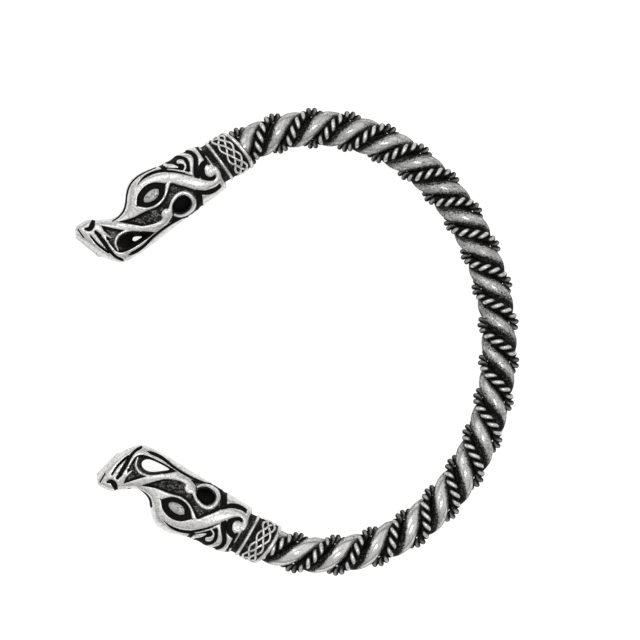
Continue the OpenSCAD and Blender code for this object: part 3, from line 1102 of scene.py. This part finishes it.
    def nearest(
        self, spots: Array, strokes: tuple[Rows, ...] = (), outlines: tuple[Rows, ...] = (), dots: Rows = ()
    ) -> Array:
        """Least distance from spots to some of the drawn forms, negative inside one.

        A form counts only for the spots in its own box, grown by the margin on all sides.

        Args:
            spots: Places from the side.
            strokes: Strokes to measure to.
            outlines: Closed outlines to measure to.
            dots: Round dots to measure to, each a stroke's point.

        Returns:
            One distance for each spot, infinite where no form is near.
        """
        forms = [(stroke_distance, self.sized(stroke)) for stroke in strokes]
        forms += [(field_distance, self.sized(outline, closed=True)) for outline in outlines]
        forms += [(stroke_distance, np.array([dot, dot]) * self.part) for dot in dots]
        least = np.full(len(spots), np.inf)
        for distance, points in forms:
            reach = self.margin + (points[:, 2].max() if points.shape[1] > 2 else 0.0)
            low, high = points[:, :2].min(axis=0) - reach, points[:, :2].max(axis=0) + reach
            close = np.all((spots > low) & (spots < high), axis=1)
            least[close] = np.minimum(least[close], distance(spots[close], points))
        return least

    def raised_by(self, spots: Array) -> tuple[Array, Array]:
        """Measures how far spots lie inside the relief's raised parts.

        These are all that no sunk form takes away, and the raised forms that are drawn over those.

        Args:
            spots: Places from the side.

        Returns:
            The distance inside all raised parts, negative in the ground, and inside the drawn ones alone.
        """
        # the forehead mark joins the grooves as painted shade, sunk and kept black
        grooves_and_shade = self.sunk_strokes + (self.forehead.value,)
        sunk = self.nearest(spots, grooves_and_shade, self.smooth_fields + self.stippled_fields)
        drawn = -self.nearest(spots, self.raised_strokes, (self.eyeball,), self.raised_dots)
        return np.maximum(sunk, drawn), drawn

    def stipple(self, spots: Array) -> Array:
        """How far spots lie inside the stippled fields, from 0 outside to 1 well inside."""
        return smoothstep(*self.stipple_step, -self.nearest(spots, outlines=self.stippled_fields))

    def in_volute(self, spots: Array) -> Array:
        """Distance of spots inside the brow and the volute's knob, negative outside."""
        return -self.nearest(spots, self.raised_strokes[:1], dots=self.raised_dots[:1])

    def in_eye(self, spots: Array) -> Array:
        """Distance of spots inside the eyeball, negative outside."""
        return -self.nearest(spots, outlines=(self.eyeball,))

    def in_ear(self, spots: Array) -> Array:
        """Rough distance of spots inside the ear hole's oval, negative outside."""
        x, y, half_l, half_h = (value * self.part for value in self.ear_hole)
        ratio = np.hypot((spots[:, 0] - x) / half_l, (spots[:, 1] - y) / half_h)
        return (1 - ratio) * min(half_l, half_h)

    def mouth_outline(self, height: float) -> Array:
        """The mouth hole's outline, drawn on both cheeks and narrowed to a waist between them.

        Args:
            height: Height from the head's middle plane.

        Returns:
            The outline's corners at that height.
        """
        drawn = self.sized(self.mouth_hole, closed=True)
        middle = np.array(self.waist[:2]) * self.part
        share = smoothstep(0.0, self.waist_half, np.abs(height))
        return middle + (drawn - middle) * at_least(self.waist[2], share)


@dataclass(frozen=True)
class HeadShape:
    """Sizes of a head and its collar, in the head's own frame.

    x runs from the collar's mouth to the muzzle, y up to the brow, and z across the cheeks. A row of the
    collar is the place of its outer and its inner edge as shares of the collar's length, and its swell as
    a share of the rims' height. A row of the head is the place and height of its brow edge and of its
    jaw edge, as shares of the head's length and height, and its half thickness as a share. A row of the
    socket is its radius and its depth as shares of the socket's. The band rows are the numbers of the
    collar's rows between which its band lies.
    """

    band_rows: tuple[int, int] = (5, 8)
    collar_l: float = 5.45
    collar_r: float = 3.38
    rim_h: float = 0.32
    mouth_bow: float = 0.95
    bow_fall: float = 1.4
    bow_round: float = 0.02
    bow_rest: float = 0.14
    socket_r: float = 3.0
    socket_depth: float = 2.2
    head_l: float = 29.9
    head_h: float = 10.1
    head_t: float = 7.64
    relief_d: float = 0.5
    edge_relief_d: float = 0.16
    relief_step: Step = (0.02, 0.2)
    ear_depth: float = 1.7
    ear_wall_w: float = 0.12
    volute_lift: float = 0.26
    volute_wall_w: float = 0.16
    shoulder_w: float = 0.36
    shoulder_d: float = 0.2
    wall_w: float = 0.11
    pillow_h: float = 0.1
    pillow_w: float = 0.7
    socket: Rows = ((0.04, 1.0), (0.5, 1.0), (0.96, 1.0), (1.0, 0.96), (1.0, 0.6), (1.0, 0.3), (1.0, 0.0))
    collar: Rows = (
        (0.210, -0.040, 0.00), (0.222, -0.027, 0.60), (0.245, -0.003, 1.00), (0.285, 0.040, 0.95),
        (0.298, 0.055, 0.50), (0.310, 0.068, 0.02), (0.400, 0.170, 0.00), (0.680, 0.540, 0.00),
        (0.756, 0.630, 0.02), (0.768, 0.643, 0.55), (0.784, 0.658, 1.00), (0.820, 0.692, 0.95),
        (0.836, 0.712, 0.50), (0.850, 0.730, 0.05), (0.900, 0.790, 0.00), (1.000, 0.900, 0.00),
    )
    head: Rows = (
        (0.190, 0.386, 0.173, -0.422, 0.95), (0.257, 0.421, 0.257, -0.452, 0.98),
        (0.332, 0.426, 0.332, -0.478, 1.00), (0.406, 0.424, 0.401, -0.500, 1.00),
        (0.471, 0.452, 0.460, -0.516, 1.00), (0.534, 0.483, 0.514, -0.532, 1.00),
        (0.592, 0.464, 0.567, -0.550, 0.96), (0.637, 0.377, 0.610, -0.566, 0.88),
        (0.674, 0.235, 0.642, -0.580, 0.80), (0.712, 0.128, 0.680, -0.590, 0.72),
        (0.765, 0.082, 0.716, -0.600, 0.69), (0.845, 0.177, 0.770, -0.613, 0.70),
        (0.918, 0.284, 0.824, -0.613, 0.67), (0.962, 0.282, 0.862, -0.580, 0.60),
        (0.990, 0.216, 0.901, -0.480, 0.44), (1.002, 0.140, 0.945, -0.330, 0.22),
    )
    tip_share: float = 0.008
    tip_flat: float = 0.0004
    tip_rings: int = 10
    neck_share: float = 0.08
    angle_steps: int = 4000
    around: int = 300
    head_rings: int = 256
    collar_rings: int = 64
    round_fullness: float = 2.0
    head_fullness: float = 2.6

    def mouth_middle(self) -> float:
        """Where the rope's line meets the middle of the collar's mouth."""
        return self.collar_l * (self.collar[0][0] + self.collar[0][1]) / 2

    def collar_rows(self) -> Array:
        """Works out the collar's sections; its bow falls off from the mouth to the head.

        Returns:
            Rows of brow place and height, jaw place and height, half thickness, fullness and bow.
        """
        given = np.array(self.collar)
        wanted = np.linspace(given[0, 0], given[-1, 0], self.collar_rings)
        inner, swell = steady_rows(given[:, 0], given[:, 1:], wanted).T
        radius = self.collar_r + self.rim_h * swell
        share = (wanted - given[0, 0]) / (given[-1, 0] - given[0, 0])
        bow = self.mouth_bow * (1 - share) ** self.bow_fall
        full = np.full(len(wanted), self.round_fullness)
        places = (wanted * self.collar_l, radius, inner * self.collar_l, -radius, radius, full, bow)
        return np.column_stack(places)

    def head_rows(self) -> Array:
        """Works out the head's sections, which end at the muzzle in a quarter of an oval.

        Returns:
            The same rows as the collar's.
        """
        given = np.array(self.head)
        places = run_lengths(given[:, :2])
        rows = steady_rows(places, given, np.linspace(0.0, places[-1], self.head_rings - self.tip_rings))
        tip = np.linspace(0.0, 1.0, self.tip_rings + 1)[1:]
        last = np.repeat(rows[-1:], self.tip_rings, axis=0)
        last[:, [0, 2]] += self.tip_share * tip[:, None]
        last[:, 4] *= np.sqrt(1 + self.tip_flat - tip**2)
        rows = np.vstack([rows, last])
        scale = np.array([self.head_l, self.head_h, self.head_l, self.head_h, self.head_t / 2])
        share = smoothstep(0.0, self.neck_share, np.linspace(0.0, 1.0, len(rows)))
        full = self.round_fullness + (self.head_fullness - self.round_fullness) * share
        return np.column_stack([rows * scale, full, np.zeros(len(rows))])

    def angles(self) -> Array:
        """Chooses the angles round a section, so that points lie evenly along the head's section.

        Returns:
            The angles, one for each point of a ring.
        """
        fine = np.linspace(0, 2 * np.pi, self.angle_steps + 1)
        along = self.bulge(np.cos(fine), self.head_fullness)
        across = self.bulge(np.sin(fine), self.head_fullness)
        lengths = run_lengths(np.column_stack([along * self.head_h, across * self.head_t]))
        return np.interp(np.linspace(0, lengths[-1], self.around, endpoint=False), lengths, fine)

    def bowed(self, angle: Array) -> Array:
        """Share of the bow that moves a point towards the rope: its angle's sine, unsigned and rounded."""
        return np.sqrt(np.sin(angle) ** 2 + self.bow_round) - self.bow_rest

    @staticmethod
    def bulge(value: Array, fullness: Array | float) -> Array:
        """A rounded square's coordinate: the value's size to the power of two over the fullness, signed."""
        return np.sign(value) * np.abs(value) ** (2 / fullness)

    def sections(self, rows: Array, drop: Array | float) -> Array:
        """Rings of the surface.

        A point is the middle of the section's two edges, plus the bulge of its angle's cosine times half
        the way between them, and the bulge of its sine times the half thickness across. The bow moves the
        cheeks back towards the rope.

        Args:
            rows: Rows of sizes, as collar_rows gives them.
            drop: How far each point lies below the raised surface, as a share of the relief's depth.

        Returns:
            An array of rings, points and coordinates.
        """
        angle = self.angles()[None, :]
        brow_x, brow_y, jaw_x, jaw_y, half_t, full, bow = (rows[:, i, None] for i in range(7))
        half_x, half_y = (brow_x - jaw_x) / 2, (brow_y - jaw_y) / 2
        inset = 1 - drop * self.edge_relief_d / np.hypot(half_x, half_y)
        along = self.bulge(np.cos(angle), full)
        across = self.bulge(np.sin(angle), full)
        depth = half_t - np.minimum(drop * self.relief_d, half_t / 2)
        x = (brow_x + jaw_x) / 2 + half_x * along * inset - bow * self.bowed(angle)
        y = (brow_y + jaw_y) / 2 + half_y * along * inset
        return np.stack([x, y, depth * across], axis=-1)

    def socket_rings(self, rope_turn: float) -> Array:
        """Rings of the socket: its floor from the middle outwards, then its wall out to the mouth.

        Args:
            rope_turn: Turn from the head's direction to the rope's, in degrees.

        Returns:
            An array of rings, points and coordinates.
        """
        angle = self.angles()[None, :]
        shares, depths = np.array(self.socket).T[..., None]
        mouth = self.sections(self.collar_rows()[:1], 0.0)[0, :, 0][None, :]
        x = depths * self.socket_depth + (1 - depths) * (mouth - self.mouth_middle())
        radius = self.socket_r * shares
        rings = np.stack([x, radius * np.cos(angle), radius * np.sin(angle)], axis=-1)
        return turned(rings, rope_turn) + np.array([self.mouth_middle(), 0.0, 0.0])

    def band_line(self) -> tuple[float, float]:
        """Where the band between the rims has its middle: on the collar's outer side and its inner side."""
        first, last = (self.collar[number] for number in self.band_rows)
        return (first[0] + last[0]) / 2 * self.collar_l, (first[1] + last[1]) / 2 * self.collar_l


@dataclass
class BeastHead:
    """A cast animal head with its collar, made in its own frame and then set on the rope's end."""

    node: str
    line: RopeLine
    finish: bpy.types.Material
    upper: bool
    turn: float
    shape: HeadShape = field(default_factory=HeadShape)
    drawing: Drawing = field(default_factory=Drawing)
    sharp_angle: float = 60.0
    cutter_layers: int = 61
    top_step: Step = (-0.04, 0.14)
    ear_step: Step = (-0.08, 0.02)
    eye_step: Step = (0.02, 0.16)
    volute_step: Step = (-0.02, 0.12)
    collar_step: Step = (1.02, 1.08)
    rim_step: Step = (0.05, 0.17)
    # painted shade: faces that turn sideways keep this share of their polish
    side_shade_step: Step = (0.1, 0.5)
    wall_step: Step = (2.1, 2.7)
    wall_reach: float = 0.01
    wall_edge: float = 0.03
    wall_tilt: float = 0.3
    stipple_polish: float = 0.22
    eye_polish: float = 0.44
    side_shade_share: float = 0.7
    wall_polish: float = 0.25
    band_polish: float = 0.16
    knot_loops: int = 10
    knot_swing: float = 1.02
    knot_round: float = 0.1
    knot_middle: float = -0.2
    knot_bow: float = 0.5
    knot_lift: float = 0.09
    knot_weave: float = 0.09
    knot_turn_back: float = 2.2
    knot_w: float = 0.38
    knot_h: float = 0.36
    knot_step: Step = (0.04, 0.16)
    knot_steps: int = 720
    knot_sides: int = 12

    def drop(self, spots: Array) -> Array:
        """How far spots lie below the raised surface, as a share of the relief's depth.

        It is 1 in the sunk ground, falls to the wall's share over the wall's width, and then to nothing
        along a rounded shoulder. The middle of a raised stroke swells a little above the surface.

        Args:
            spots: Places from the side.

        Returns:
            One share for each spot.
        """
        shape = self.shape
        edge, drawn = self.drawing.raised_by(spots)
        lip = shape.shoulder_d / shape.relief_d
        shoulder = lip * (1 - np.sqrt(1 - (1 - np.clip(edge / shape.shoulder_w, 0, 1)) ** 2))
        wall = at_least(lip, smoothstep(0.0, shape.wall_w, -edge))
        swell = shape.pillow_h / shape.relief_d * smoothstep(0.0, shape.pillow_w, drawn)
        level = np.where(edge < 0, wall, shoulder - swell)
        return level * smoothstep(*shape.relief_step, spots[:, 0] - shape.collar_l)

    def polish(self, spots: Array) -> Array:
        """How polished the silver is, from the side: 1 on top, little or nothing in the ground.

        Args:
            spots: Places from the side.

        Returns:
            One value for each spot.
        """
        drawing = self.drawing
        eye = smoothstep(*self.eye_step, drawing.in_eye(spots))
        top = smoothstep(*self.top_step, drawing.raised_by(spots)[0]) * at_least(self.eye_polish, 1 - eye)
        ground = self.stipple_polish * drawing.stipple(spots)
        return at_least(ground, top) * (1 - smoothstep(*self.ear_step, drawing.in_ear(spots)))

    def skin(self) -> bpy.types.Mesh:
        """Makes the head's surface with its collar and socket.

        Returns:
            The mesh in the head's frame, its mouth still closed.
        """
        shape, drawing = self.shape, self.drawing
        rows = np.vstack([shape.collar_rows(), shape.head_rows()])
        spots = shape.sections(rows, 0.0)[..., :2].reshape(-1, 2)
        grid = (len(rows), shape.around)
        rings = shape.sections(rows, self.drop(spots).reshape(grid))
        ear = smoothstep(0.0, shape.ear_wall_w, drawing.in_ear(spots)).reshape(grid)
        volute = smoothstep(0.0, shape.volute_wall_w, drawing.in_volute(spots)).reshape(grid)
        volute[shape.collar_rings :] = 0.0
        rings[..., 2] += np.sign(rings[..., 2]) * (volute * shape.volute_lift - ear * shape.ear_depth)
        rings = np.concatenate([shape.socket_rings(-self.turn), rings])
        return mesh_of("uncut", rings.reshape(-1, 3), *tube_faces(len(rings), shape.around))

    def pierced(self, mesh: bpy.types.Mesh) -> bpy.types.Mesh:
        """Cuts the mouth through a head's skin with a waisted prism of the hole's outline.

        The outline is drawn anticlockwise, so the faces of the prism point outward.

        Args:
            mesh: The skin, which is removed.

        Returns:
            The pierced mesh.
        """
        heights = np.linspace(-self.shape.head_t, self.shape.head_t, self.cutter_layers)
        outlines = np.stack([self.drawing.mouth_outline(height) for height in heights])
        levels = np.broadcast_to(heights[:, None, None], (*outlines.shape[:2], 1))
        layers = np.concatenate([outlines, levels], axis=2).reshape(-1, 3)
        cutter = mesh_of("mouth_cutter", layers, *tube_faces(*outlines.shape[:2]))
        prism, body = new_piece(cutter.name, cutter), new_piece(mesh.name, mesh)
        cut = body.modifiers.new("mouth", "BOOLEAN")
        cut.operation = "DIFFERENCE"
        cut.solver = "EXACT"
        cut.object = prism
        whole = bpy.data.meshes.new_from_object(body.evaluated_get(bpy.context.evaluated_depsgraph_get()))
        for spare in (prism, body):
            bpy.data.objects.remove(spare)
        for spare in (cutter, mesh):
            bpy.data.meshes.remove(spare)
        return whole

    def store_polish_and_shade(self, mesh: bpy.types.Mesh) -> None:
        """Works the polish out for every corner of a head's faces.

        On the head it follows the drawing, and faces inside the pierced mouth are black. On the collar the
        rims are bright and the band between them black, and so is the socket. Faces that turn sideways are
        made darker: painted shade.

        Args:
            mesh: The head's mesh in its own frame.
        """
        shape = self.shape
        places = mesh_places(mesh)
        radius = np.hypot(places[:, 1], places[:, 2])
        rims = smoothstep(*self.rim_step, radius - shape.collar_r)
        rims = np.maximum(rims, smoothstep(*self.volute_step, self.drawing.in_volute(places[:, :2])))
        on_head = smoothstep(*self.collar_step, places[:, 0] / shape.collar_l)
        polish = self.polish(places[:, :2]) * on_head + np.maximum(rims, self.band_polish) * (1 - on_head)
        corners = corner_points(mesh)
        totals = read_values(mesh.polygons, "loop_total", np.int32)
        upright = np.abs(read_rows(mesh.polygons, "normal")[:, 2])
        centres = read_rows(mesh.polygons, "center")[:, :2]
        # painted shade on faces that turn sideways
        side = at_least(self.side_shade_share, smoothstep(*self.side_shade_step, upright))
        rim = field_distance(centres, self.drawing.mouth_outline(shape.head_t))
        inside = (rim < -self.wall_reach) | ((rim < self.wall_edge) & (upright < self.wall_tilt))
        wall = self.wall_polish * smoothstep(*self.wall_step, np.abs(places[corners, 2]))
        set_polish_and_shade(mesh, np.where(np.repeat(inside, totals), wall, polish[corners] * np.repeat(side, totals)))

    def plait_strand(self, number: int) -> bpy.types.Mesh:
        """One strand of the collar's knotwork, a flat plait of two strands that go twice round.

        A strand's place along the collar swings with the sine of t less a ninth of the sine of 3 t, so that
        it runs straight between round loops, and the other strand is a quarter of a swing ahead. The
        height goes with the cosine of 4 t, reversed on the way back, so that a strand passes over and under
        by turns.

        Args:
            number: 0 or 1, which of the two strands it is.

        Returns:
            The mesh in the head's frame.
        """
        angle = np.linspace(0, 4 * np.pi, self.knot_steps, endpoint=False)
        swing = angle * self.knot_loops / 4 + number * np.pi / 2
        wave = (1 - self.knot_round) * np.sin(swing) - self.knot_round * np.sin(3 * swing)
        over = -np.cos(4 * swing) * np.clip(self.knot_turn_back * np.cos(swing), -1.0, 1.0)
        aside = self.knot_middle + self.knot_swing * wave
        line = self.on_collar(angle, aside, self.knot_lift + self.knot_weave * over)
        ahead = unit_rows(np.roll(line, -1, axis=0) - np.roll(line, 1, axis=0))
        up = unit_rows(line * np.array([0.0, 1.0, 1.0]))
        wide = np.full(self.knot_steps, self.knot_w / 2)
        high = np.full(self.knot_steps, self.knot_h / 2)
        rings = ring_points(line, unit_rows(np.cross(ahead, up)), up, wide, high, self.knot_sides)
        faces = tube_faces(self.knot_steps, self.knot_sides, ends_closed=False)
        mesh = mesh_of(f"strand_{number}", rings.reshape(-1, 3), *faces)
        mesh.flip_normals()
        lift = np.hypot(rings[..., 1], rings[..., 2]) - self.shape.collar_r
        polish_and_shade_points(mesh, smoothstep(*self.knot_step, lift))
        return mesh

    def on_collar(self, angle: Array, aside: Array, lift: Array) -> Array:
        """Finds places over the collar's band.

        Args:
            angle: Angle round the collar, 0 at its outer side.
            aside: How far from the band's middle line, towards the head.
            lift: Height over the band.

        Returns:
            Rows of places in the head's frame.
        """
        outer, inner = self.shape.band_line()
        x = (outer + inner) / 2 + (outer - inner) / 2 * np.cos(angle) + aside
        x = x - self.knot_bow * self.shape.mouth_bow * self.shape.bowed(angle)
        radius = self.shape.collar_r + lift
        return np.column_stack([x, radius * np.cos(angle), radius * np.sin(angle)])

    def place(self, mesh: bpy.types.Mesh) -> None:
        """Sets a mesh from the head's frame on the rope's end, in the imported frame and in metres.

        The upper head is a mirror image, so its faces are turned round again afterwards.

        Args:
            mesh: The mesh to move.
        """
        line = self.line
        angle = line.upper_end if self.upper else -line.lower_end
        mouth = np.append(line.flat_point(np.array(angle)), 0.0)
        way = float(line.heading(np.array(angle))) + (0.0 if self.upper else 180.0)
        places = mesh_places(mesh) - np.array([self.shape.mouth_middle(), 0.0, 0.0])
        places = turned(places, self.turn)
        if self.upper:
            places[:, 1] = -places[:, 1]
            mesh.flip_normals()
        move_mesh(mesh, (turned(places, way) + mouth + np.array(line.centre)) * MM)

    def build(self) -> list[bpy.types.Object]:
        """Builds the head and its knotwork; the cast head stands for the CAD node.

        Returns:
            The two pieces.
        """
        cast = self.pierced(self.skin())
        self.store_polish_and_shade(cast)
        cast.name = self.node + "_cast"
        cast.set_sharp_from_angle(angle=math.radians(self.sharp_angle))
        knots = joined(self.node + "_knotwork", [self.plait_strand(number) for number in (0, 1)])
        pieces = []
        for mesh in (cast, knots):
            self.place(mesh)
            pieces.append(dressed(mesh, self.finish))
        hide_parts(self.node)
        return pieces


# The studio


@dataclass(frozen=True)
class Lamp:
    """A soft square lamp over the ring, which it faces: its place and side in metres, its power in watts."""

    name: str
    place: Point
    side: float
    power: float

    def build(self) -> None:
        """Adds the lamp, leaned from straight down by its aim's angle and turned the way it aims."""
        data = bpy.data.lights.new(self.name, "AREA")
        data.shape = "SQUARE"
        data.size = self.side
        data.energy = self.power
        light = bpy.data.objects.new(self.name, data)
        aim = -np.array(self.place) / np.linalg.norm(self.place)
        light.location = self.place
        light.rotation_euler = (0.0, -math.acos(-aim[2]), math.atan2(aim[1], aim[0]))
        bpy.context.scene.collection.objects.link(light)


@dataclass
class Studio:
    """A pale floor, soft light and the camera, which looks straight down on the ring's plane."""

    picture_middle: Point = (3.705, 3.495, 3.92)
    picture_width: float = 102.4
    focal: float = 150.0
    sensor: float = 36.0
    nearest_seen: float = 0.01
    floor_half: float = 1.5
    floor_colour: Point = (0.4, 0.4, 0.4, 1.0)
    floor_rough: float = 0.7
    floor_glow: float = 0.78
    white: Point = (1.0, 1.0, 1.0, 1.0)
    horizon_light: float = 0.30
    tent_light: float = 0.90
    tent_step: Step = (0.02, 0.5)
    top_loss: float = 0.38
    top_step: Step = (0.80, 0.985)
    low_side_light: float = 0.75
    low_side_step: Step = (-0.70, -0.05)
    lamps: tuple[Lamp, ...] = (
        Lamp("key", (-0.30, 0.35, 0.55), 0.45, 0.6),
        Lamp("sparkle", (0.13, -0.06, 0.80), 0.19, 1.25),
    )

    def camera(self) -> None:
        """Adds the camera at the height from which the picture's width fills the frame."""
        data = bpy.data.cameras.new("camera")
        data.lens = self.focal
        data.sensor_width = self.sensor
        data.clip_start = self.nearest_seen
        seen = bpy.data.objects.new("camera", data)
        distance = self.picture_width * self.focal / self.sensor
        seen.location = (np.array(self.picture_middle) + np.array([0.0, 0.0, distance])) * MM
        bpy.context.scene.collection.objects.link(seen)
        bpy.context.scene.camera = seen

    def floor(self) -> None:
        """Adds a wide pale floor under the ring."""
        half = self.floor_half
        corners = np.array([[-half, -half, 0], [half, -half, 0], [half, half, 0], [-half, half, 0]])
        mesh = mesh_of("floor", corners, np.arange(4), np.array([4]))
        material = bpy.data.materials.new("pale_floor")
        inputs = {
            "Base Color": self.floor_colour,
            "Roughness": self.floor_rough,
            "Emission Color": self.white,
            "Emission Strength": self.floor_glow,
        }
        NodeShop(material).surface("ShaderNodeBsdfPrincipled", "ShaderNodeOutputMaterial", inputs)
        mesh.materials.append(material)
        new_piece("floor", mesh)

    def world(self) -> None:
        """Lights the room.

        It is dark at the horizon, bright above it like a tent, a little less bright overhead, and dim
        towards the picture's lower side.
        """
        world = bpy.data.worlds.new("room")
        shop = NodeShop(world)
        place = shop.out(shop.node("ShaderNodeTexCoord"), "Generated")
        way = shop.node("ShaderNodeSeparateXYZ", {}, {0: place})
        height, forward = shop.out(way, "Z"), shop.out(way, "Y")
        light = self.horizon_light + shop.step(height, *self.tent_step) * self.tent_light
        light = light - shop.step(height, *self.top_step) * self.top_loss
        rest = 1 - self.low_side_light
        light = light * (self.low_side_light + rest * shop.step(forward, *self.low_side_step))
        inputs = {"Color": self.white, "Strength": light}
        shop.surface("ShaderNodeBackground", "ShaderNodeOutputWorld", inputs)
        bpy.context.scene.world = world

    def build(self) -> None:
        """Sets the studio up."""
        self.camera()
        self.floor()
        self.world()
        for lamp in self.lamps:
            lamp.build()
        view = bpy.context.scene.view_settings
        view.view_transform = "Standard"
        view.look = "None"


def main() -> None:
    """Loads the frame, dresses the ring and sets the studio up."""
    logging.basicConfig(level=logging.INFO, format="%(message)s")
    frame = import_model()
    log.info("frame: %d nodes", len(frame["nodes"]))
    Studio().build()
    cast_silver = Silver("cast_silver").made()
    rod_silver = RodSilver("rod_silver").made()
    wire_silver = WireSilver("wire_silver").made()
    line = RopeLine()
    pieces = TwistedRope(line, rod_silver, wire_silver).build()
    pieces += BeastHead("upper_head", line, cast_silver, upper=True, turn=-0.5).build()
    # the lower head wears the painted shade crescent on its forehead
    lower = Drawing(forehead=Forehead.SHADE_CRESCENT, waist=(141.0, -20.5, 0.8))
    pieces += BeastHead("lower_head", line, cast_silver, upper=False, turn=-3.5, drawing=lower).build()
    for piece in pieces:
        faces = sum(len(polygon.vertices) - 2 for polygon in piece.data.polygons)
        log.info("piece %s: %d triangles", piece.name, faces)


if __name__ == "__main__":
    main()
